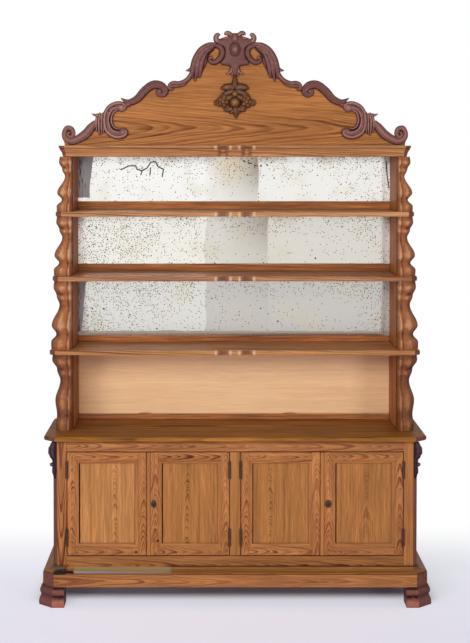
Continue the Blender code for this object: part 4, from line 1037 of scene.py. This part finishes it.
# Ribs: points, flutes, height as a share of the radius, how pale they are painted, with wear and painted
# highlight; the ring is painted darker, as shade beside the shield
RIBS = ((END_SCROLL, 2, 1.0, 1.4), (S_SCROLL, 1, 1.0, 0.95), (SMALL_SCROLL, 0, 1.0, 0.8),
        (LEAF_BED, 0, 0.32, 0.85), *((points, 0, 1.45, 1.0) for points in LEAF_RIDGES),
        (S_TAIL, 0, 1.0, 0.8), (FLANK, 0, 0.45, 0.25), *((points, 0, 1.15, 0.72) for points in FLANK_VEINS),
        (RING, 0, 0.55, 0.50), (SHOULDER, 0, 1.0, 0.8), (TOP_EDGE, 0, 1.0, 0.7))
# Round ends of the scrolls and leaves: out, up, radius, depth
EYES = ((719, 64, 7, 10.5), (324, 243, 8, 12), (104, 388, 8, 12), (480, 69, 9, 13.5), (490, 173, 19, 8),
        (482, 66, 18, 8))

# Shield in the middle with its crown, foot and fruit drop
SHIELD_OUTLINE = ((0, 485), (26, 484), (32, 477), (44, 471), (74, 470), (86, 461), (68, 450), (53, 441),
                  (43, 427), (42, 409), (44, 393), (50, 381), (60, 368), (59, 359), (44, 356), (26, 354),
                  (15, 346), (14, 329), (6, 313), (0, 305))
SHIELD_D = 12
CROWN = (
    ((62, 458, 9.5), (77, 460, 12.1), (82, 475, 11.6), (74, 487, 9.5), (66, 482, 5.2)),
    ((62, 464, 6.9), (34, 471, 9.5), (1, 474, 11.3)),
    ((6, 475, 6.9), (17, 486, 9.5), (28, 493, 11), (38, 492, 9.5), (39, 484, 5.2)),
)
SHIELD_RIM = ((30, 472, 6), (38, 450, 5.5), (38, 422, 5), (36, 395, 5), (30, 374, 5.5), (12, 360, 6))
SHIELD_FOOT = (
    ((57, 363, 3), (41, 366, 9.1), (20, 361, 10.4), (0, 357, 11)),
    ((9, 348, 9.1), (17, 328, 7.9), (40, 316, 1.5)),
    ((5, 342, 7.9), (11, 320, 6.1), (14, 306, 1.5)),
)
DROP_LEAVES = (
    ((2, 259, 13), (21, 261, 16), (43, 259, 13.5), (62, 253, 2.6)),
    ((6, 244, 10.5), (25, 239, 12.5), (43, 231, 10), (56, 226, 2.6)),
    ((13, 168, 10.5), (28, 163, 10.5), (47, 158, 2.6)),
    ((4, 162, 8.5), (15, 152, 7.5), (22, 145, 2.2)),
    ((10, 224, 8), (25, 215, 12.5), (41, 206, 8)),
)
CROWN_STEM = ((0, 462, 18), (0, 480, 17), (0, 494, 12))
SHIELD_TAIL = ((0, 354, 12.2), (0, 326, 9.7), (0, 301, 1.5))
DROP_STEM = ((0, 303, 7.5), (0, 284, 12), (0, 262, 17.5))
DROP_TIP = ((1, 172, 12.2), (4, 147, 11), (6, 126, 2.2))
# Swellings on the middle line: up, half width, half height, depth; a dark rib runs round the oval, painted
# as the shade of a groove
OVAL = (424, 20.7, 27.4, 27)
OVAL_GROOVE = 4
GROOVE_OFF = 2
FRUITS = ((232, 16, 18, 24), (194, 24.5, 24.5, 36))
# Carved flowers of the drop: out, up, radius; their petals and boss in shares of it
ROSES = ((51, 197, 27), (76, 193, 15), (47, 221, 17), (34, 172, 15))
PETALS = 5
PETAL_AT = 0.55
PETAL = (0.50, 0.60, 0.42)
BOSS = (0.30, 0.70, 0.30)
RIB_STEPS = 6
RIB_POINTS = 12
FLUTE_DEPTH = 0.36
# Depth of the carving's back, just clear of the board
CREST_BACK = (CLEAR - RELIEF_LIFT) / MM


def crest_point(out, up, depth):
    return Vector((out * MM, CREST_FACE - RELIEF_LIFT - depth * MM, CREST_Z + up * MM))


def rib(bm, points, side, flutes=0, share=1.0, wear_and_light=1.0):
    """A tapering rib of carving along a curve in the crest's plane, fluted along it, with a flat back."""
    path = smooth_path(points, RIB_STEPS)
    sections, relief = [], []
    for k, (out, up, radius) in enumerate(path):
        before, after = path[max(k - 1, 0)], path[min(k + 1, len(path) - 1)]
        run = Vector((side * (after[0] - before[0]), after[1] - before[1])).normalized()
        ring, tones = [], []
        for j in range(RIB_POINTS + 1):
            s = 2 * j / RIB_POINTS - 1
            groove = math.sin(math.pi * flutes * (s + 1) / 2) ** 2
            high = share * radius * (1 - s ** 4) ** 0.5 * (1 - FLUTE_DEPTH * groove)
            ring.append(crest_point(side * out - run.y * radius * s, up + run.x * radius * s, high))
            # Paler along the crest, darker at the edges and in the flutes: wear and patina, with painted
            # highlight and painted shade
            tones.append(wear_and_light * (1 - s ** 2) * (1 - 0.40 * groove))
        for s in (1, -1):
            ring.append(crest_point(side * out - run.y * radius * s, up + run.x * radius * s, CREST_BACK))
            tones.append(0.0)
        sections.append(ring)
        relief.append(tones)
    loft(bm, sections, relief)


def swelling(bm, out, up, half_width, half_height, depth, relief=0.85):
    dome(bm, crest_point(out, up, 0), (half_width * MM, depth * MM, half_height * MM), relief=relief)


def rose(bm, out, up, radius):
    """A carved flower: a ring of cupped petals round a boss."""
    away = PETAL_AT * radius
    for k in range(PETALS):
        turn = 2 * math.pi * k / PETALS
        at = crest_point(out + away * math.cos(turn), up + away * math.sin(turn), 2)
        dome(bm, at, [share * radius * MM for share in PETAL], turn=-turn)
    dome(bm, crest_point(out, up, 4), [share * radius * MM for share in BOSS], relief=1.0)


def shield_plate(bm):
    """The rounded plate under the shield's ribs."""
    half = smooth_path(SHIELD_OUTLINE, 2)
    outline = half + [(-out, up) for out, up in reversed(half[1:-1])]
    centre = sum(up for _, up in outline) / len(outline)
    sections, relief = [], []
    levels = ((1.0, CREST_BACK), (1.0, 0.5 * SHIELD_D), (0.95, 0.85 * SHIELD_D), (0.86, SHIELD_D))
    for share, depth in levels:
        scaled = [(share * out, centre + share * (up - centre)) for out, up in outline]
        sections.append([crest_point(out, up, depth) for out, up in scaled])
        relief.append([0.55 * max(depth, 0.0) / SHIELD_D] * len(outline))
    loft(bm, sections, relief)


def oval_groove_shade(bm):
    up, half_width, half_height, _ = OVAL
    wide, tall = half_width + GROOVE_OFF, half_height + GROOVE_OFF
    turns = [2 * math.pi * k / 12 for k in range(13)]
    ring = [(wide * math.sin(turn), up + tall * math.cos(turn), OVAL_GROOVE) for turn in turns]
    # A rib in the darkest tone stands for the shade in the groove
    rib(bm, ring, 1, share=1.1 * SHIELD_D / OVAL_GROOVE, wear_and_light=0.0)


def flat_back(bm):
    slice_off(bm, (0, CREST_FACE - CLEAR, 0), (0, 1, 0))


def make_crest():
    look = stained_carving("crest_stain", RED_CARVING)
    for hand, side in HANDS:
        bm = fresh()
        for points, *form in RIBS:
            rib(bm, points, side, *form)
        for out, up, size, depth in EYES:
            swelling(bm, side * out, up, size, size, depth, relief=1.0)
        flat_back(bm)
        piece(f"crest_scrolls_{hand}", bm, look, instead=(f"crest_carving_{hand}",), sharp=50)
    bm = fresh()
    shield_plate(bm)
    for points in (CROWN_STEM, SHIELD_TAIL):
        rib(bm, points, 1, wear_and_light=0.8)
    for _, side in HANDS:
        for points in (*CROWN, *SHIELD_FOOT):
            rib(bm, points, side)
        rib(bm, SHIELD_RIM, side, wear_and_light=0.7)
    swelling(bm, 0.0, *OVAL)
    oval_groove_shade(bm)
    flat_back(bm)
    piece("crest_shield", bm, look, instead=("crest_cartouche",), sharp=50)
    bm = fresh()
    for points in (DROP_STEM, DROP_TIP):
        rib(bm, points, 1, wear_and_light=0.6)
    for _, side in HANDS:
        for points in DROP_LEAVES:
            rib(bm, points, side, wear_and_light=0.7)
        for out, up, radius in ROSES:
            rose(bm, side * out, up, radius)
    for values in FRUITS:
        swelling(bm, 0.0, *values)
    flat_back(bm)
    piece("crest_fruit_drop", bm, stained_carving("fruit_stain", FRUIT_CARVING), sharp=50)


# Finishes of the CAD nodes that stay
# The bow in the middle of each shelf front is painted with highlights beside its hollows and shade in
# them: places, half width, how far back it reaches, tone, softness
BOW_HIGHLIGHT_AND_SHADE = (((-0.083, -0.019, 0.019, 0.083), 0.004, 0.004, "E8BC90", 0.004),
             ((-0.051, 0.051), 0.007, 0.013, "5A2C16", 0.006))
# Painted shade along the upper and lower edges of boards: how high, tone
UPPER_EDGE_SHADE = {"base_moulding_right": (0.003, "3E2010")}
LOWER_EDGE_SHADE = {"base_moulding_right": (0.002, "4A2812"), "cornice_shelf": (0.002, "6A3820")}


def dress_boards():
    """Each board its own grain: tones, run, face, heart line, pith depth, taper, ring, figure, gloss."""
    boards = {
        "plinth_frame": (PLINTH_PINE, "X", "Y", (-0.479, PLINTH_LOW.y, 0.108), 0.016, 0.05, 0.007),
        "base_moulding_left": (MOULDING_PINE, "X", "Y", (-0.6, PLINTH_LOW.y, 0.150), 0.03, 0.03, 0.006, 0.8),
        "base_moulding_right": (MOULDING_PINE, "X", "Y", (0.3, PLINTH_LOW.y, 0.150), 0.03, 0.03, 0.006, 0.8),
        "carcass_side_left": (FRAME_PINE, "Z", "X", (-0.775, 0.03, 0.42), 0.02, 0.10, 0.010),
        "carcass_side_right": (FRAME_PINE, "Z", "X", (0.775, 0.07, 0.42), 0.02, 0.10, 0.010),
        "carcass_back": (RAW_PINE, "X", "Y", (0.0, 0.24, 0.42), 0.02, 0.06, 0.012),
        "carcass_bottom": (RAW_PINE, "X", "Z", (0.0, 0.03, 0.21), 0.02, 0.06, 0.012),
        "counter_top": (COUNTER_PINE, "X", "Z", (0.1, 0.05, 0.7256), 0.02, 0.05, 0.024, 1.8, 0.06),
        "rack_side_left": (LEDGE_PINE, "Z", "X", (-0.71, 0.1, 1.3), 0.02, 0.06, 0.008, 0.8, 0.04),
        "rack_side_right": (LEDGE_PINE, "Z", "X", (0.71, 0.1, 1.3), 0.02, 0.06, 0.008, 0.8, 0.04),
        "lower_shelf": (SHELF_PINE, "X", "Z", (0.1, -0.09, 1.07), 0.02, 0.04, 0.007, 1.2, 0.03),
        "middle_shelf": (MIDDLE_SHELF_PINE, "X", "Z", (-0.2, -0.08, 1.38), 0.02, 0.04, 0.007, 1.2, 0.03),
        "upper_shelf": (UPPER_SHELF_PINE, "X", "Z", (0.2, -0.07, 1.67), 0.02, 0.04, 0.007, 1.2, 0.03),
        "cornice_shelf": (SHELF_PINE, "X", "Z", (0.0, -0.06, 1.93), 0.02, 0.04, 0.007, 1.1, 0.10),
        "pale_panel": (PALE_PINE, "X", "Y", (-0.2, 0.22, 0.92), 0.03, 0.10, 0.016, 0.35),
        "rack_back": (LEDGE_PINE, "X", "Y", (0.1, 0.22, 1.3), 0.05, 0.03, 0.010, 2.0),
        "crest_board": (CREST_PINE, "X", "Y", (0.05, CREST_FACE, CREST_Z + 0.082), 0.020, 0.10, 0.011, 1.2),
    }
    mitred = ("plinth_frame", "base_moulding_left", "base_moulding_right")
    side_shaded = (*mitred, "counter_top", "lower_shelf", "middle_shelf", "upper_shelf", "cornice_shelf")
    for node, (tones, *place) in boards.items():
        # The plinth, mouldings, counter and shelves are painted darker purple on faces turned to the sides,
        # as shade
        turned = {"mitred": node in mitred, "cheek": SIDE_SHADE if node in side_shaded else None}
        look = pitch_pine(f"{node}_pine", tones, *place, **turned)
        low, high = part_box(node)
        if node == "base_moulding_left":
            for corner, tone in STUB_MARKS:
                patch_over(look, STUB_LOW, corner, tone, STUB_RAGGED)
        # Painted shade along the top and the foot of a board
        if node in UPPER_EDGE_SHADE:
            tall, tone = UPPER_EDGE_SHADE[node]
            patch_over(look, (-1, -1, high.z - tall), (1, 1, high.z), tone, FINE_EDGE)
        if node in LOWER_EDGE_SHADE:
            tall, tone = LOWER_EDGE_SHADE[node]
            patch_over(look, (-1, -1, low.z), (1, 1, low.z + tall), tone, FINE_EDGE)
        if node.endswith("shelf"):
            # Painted highlight beside the bow's hollows and painted shade in them
            for places, half, back, tone, soft in BOW_HIGHLIGHT_AND_SHADE:
                for x in places:
                    patch_over(look, (x - half, -1, 0), (x + half, low.y + back, 3), tone, FINE_EDGE, soft)
        dress(node, look)
    for hand, side in HANDS:
        look = pitch_pine(f"rear_foot_{hand}_pine", FOOT_PINE, "Z", "Y", (side * 0.76, 0.2, 0.04))
        dress(f"foot_rear_{hand}", look)


# Marks in the upper mirror: across from the middle, up from the floor
CRACK = ((-0.510, 1.856), (-0.476, 1.873), (-0.444, 1.874), (-0.437, 1.858), (-0.415, 1.851),
         (-0.393, 1.863), (-0.375, 1.890), (-0.353, 1.892), (-0.343, 1.870), (-0.318, 1.858),
         (-0.324, 1.826))
CRACK_BRANCHES = (((-0.415, 1.851), (-0.420, 1.834)), ((-0.377, 1.863), (-0.379, 1.834)))
DARK_CHAIN = (((0.042, 1.897), (0.050, 1.893)), ((0.064, 1.889), (0.071, 1.884), (0.080, 1.886)),
              ((0.092, 1.877), (0.101, 1.874)), ((0.119, 1.872), (0.124, 1.877)),
              ((0.147, 1.879), (0.152, 1.875)))
SIDE_STREAK = ((0.686, 1.892), (0.692, 1.830), (0.699, 1.775))
RUSTED = (-0.018, 1.880)


def dress_mirrors():
    """Each plate its own tones: left, right and greyest, the last two with painted reflection, where the
    grey ends, how much thicker its spots lie at the left, its bare strip there, the painted reflection of
    the ledge along its foot, its cracks and its rusted patch."""
    plates = {
        "mirror_upper": (("F8F8F4", "F3F2ED", "A89E90"), 0.127, 0.22, 0.058, 0.0,
                         (CRACK, *CRACK_BRANCHES, *DARK_CHAIN, SIDE_STREAK), RUSTED),
        "mirror_middle": (("F3F1E9", "DFDBD3", "AEA79C"), 0.172, 1.05),
        "mirror_lower": (("E2E1DB", "CBC8C3", "C4C0B8"), 0.172, 0.85, 0.028, 0.020),
    }
    for node, (tones, *rest) in plates.items():
        dress(node, silvered_glass(f"{node}_glass", *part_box(node), tones, *rest))


def dress_ironwork():
    look = old_iron("browned_iron")
    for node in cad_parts:
        if "hinge" in node or "lock" in node or "escutcheon" in node:
            dress(node, look)


def make_stage():
    """A pale floor that fades to the white of the studio behind the dresser, and keeps its shadow."""
    bm = bmesh.new()
    bmesh.ops.create_grid(bm, x_segments=1, y_segments=1, size=9.0)
    floor = show("floor", as_mesh("floor", bm))
    material, tree, shader = new_look("studio_floor")
    seen = add(tree, "LightPath")["Is Camera Ray"]
    across, back, _ = add(tree, "SeparateXYZ", (add(tree, "TexCoord")["Object"],))
    aside = add(tree, "Math", (across,), "ABSOLUTE")[0]
    # Painted light: the floor glows for the camera alone, as the walls of a studio would light it; the glow
    # is left off under the dresser, which paints its shadow there
    clear = None
    for measure, none, full in ((aside, 0.76, 0.90), (back, 0.0, -0.15), (back, 0.28, 0.42)):
        open_to = add(tree, "MapRange", (measure, none, full), interpolation_type="SMOOTHSTEP")[0]
        clear = open_to if clear is None else add(tree, "Math", (clear, open_to), "MAXIMUM")[0]
    lift = add(tree, "Math", (clear, seen), "MULTIPLY")[0]
    level = add(tree, "MapRange", (back, -0.6, 0.5, 0.39, 0.53))[0]
    feed(tree, shader, {
        "Base Color": colour("E0D8F4"),
        "Roughness": 0.9,
        "Emission Color": colour("F8FFFC"),
        "Emission Strength": add(tree, "Math", (lift, level), "MULTIPLY")[0],
    })
    white = add(tree, "Emission", {"Color": colour("FFFFFF"), "Strength": 1.0})[0]
    far = add(tree, "MapRange", (back, 0.3, 1.3), interpolation_type="SMOOTHSTEP")[0]
    share = add(tree, "Math", (seen, far), "MULTIPLY")[0]
    mixed = add(tree, "MixShader", (share, shader.outputs[0], white))[0]
    feed(tree, tree.nodes["Material Output"], {"Surface": mixed})
    floor.data.materials.append(material)


def make_light():
    world = bpy.data.worlds.new("studio")
    bpy.context.scene.world = world
    world.use_nodes = True
    tree = world.node_tree
    tree.nodes.clear()
    ray = add(tree, "LightPath")
    seen = add(tree, "Math", (ray["Is Camera Ray"], ray["Is Glossy Ray"]), "MAXIMUM")[0]
    shown = add(tree, "Math", (seen, ray["Is Transmission Ray"]), "MAXIMUM")[0]
    soft = add(tree, "Background", {"Color": colour("FBFAFF"), "Strength": 0.22})[0]
    white = add(tree, "Background", {"Color": colour("FFFFFF"), "Strength": 1.0})[0]
    mixed = add(tree, "MixShader", (shown, soft, white))[0]
    add(tree, "OutputWorld", {"Surface": mixed})
    # Lamps that all face the middle of the dresser: place, width and height, watts
    middle = Vector((0.0, 0.0, 1.1))
    lamps = {"key": ((-1.5, -6.0, 3.1), 3.0, 1.6, 172), "left_fill": ((-3.2, -5.5, 1.6), 1.4, 1.8, 64),
             "right_fill": ((3.4, -5.5, 1.6), 1.4, 1.8, 64)}
    for name, (place, width, height, power) in lamps.items():
        lamp = bpy.data.lights.new(name, "AREA")
        lamp.shape = "RECTANGLE"
        lamp.size = width
        lamp.size_y = height
        lamp.energy = power
        obj = show(name, lamp)
        obj.location = place
        obj.rotation_euler = (middle - obj.location).to_track_quat("-Z", "Y").to_euler()


def make_camera():
    data = bpy.data.cameras.new("camera")
    data.sensor_width = SENSOR_MM
    data.lens = FOCAL_PX / PHOTO_H * SENSOR_MM
    data.shift_x = (PHOTO_W / 2 - AXIS_X) / PHOTO_H
    data.shift_y = (AXIS_Y - PHOTO_H / 2) / PHOTO_H
    camera = show("camera", data)
    camera.location = EYE
    camera.rotation_euler = (math.pi / 2 - LOOK_DOWN, 0.0, 0.0)
    bpy.context.scene.camera = camera


bpy.context.scene.view_settings.view_transform = "Standard"
make_camera()
make_light()
make_stage()
make_face_frame()
for hand, _ in HANDS:
    make_door(hand, "passive")
    make_door(hand, "leading")
make_front_feet()
make_corbels()
make_brackets()
make_ledge_humps()
make_crest()
dress_boards()
dress_mirrors()
dress_ironwork()
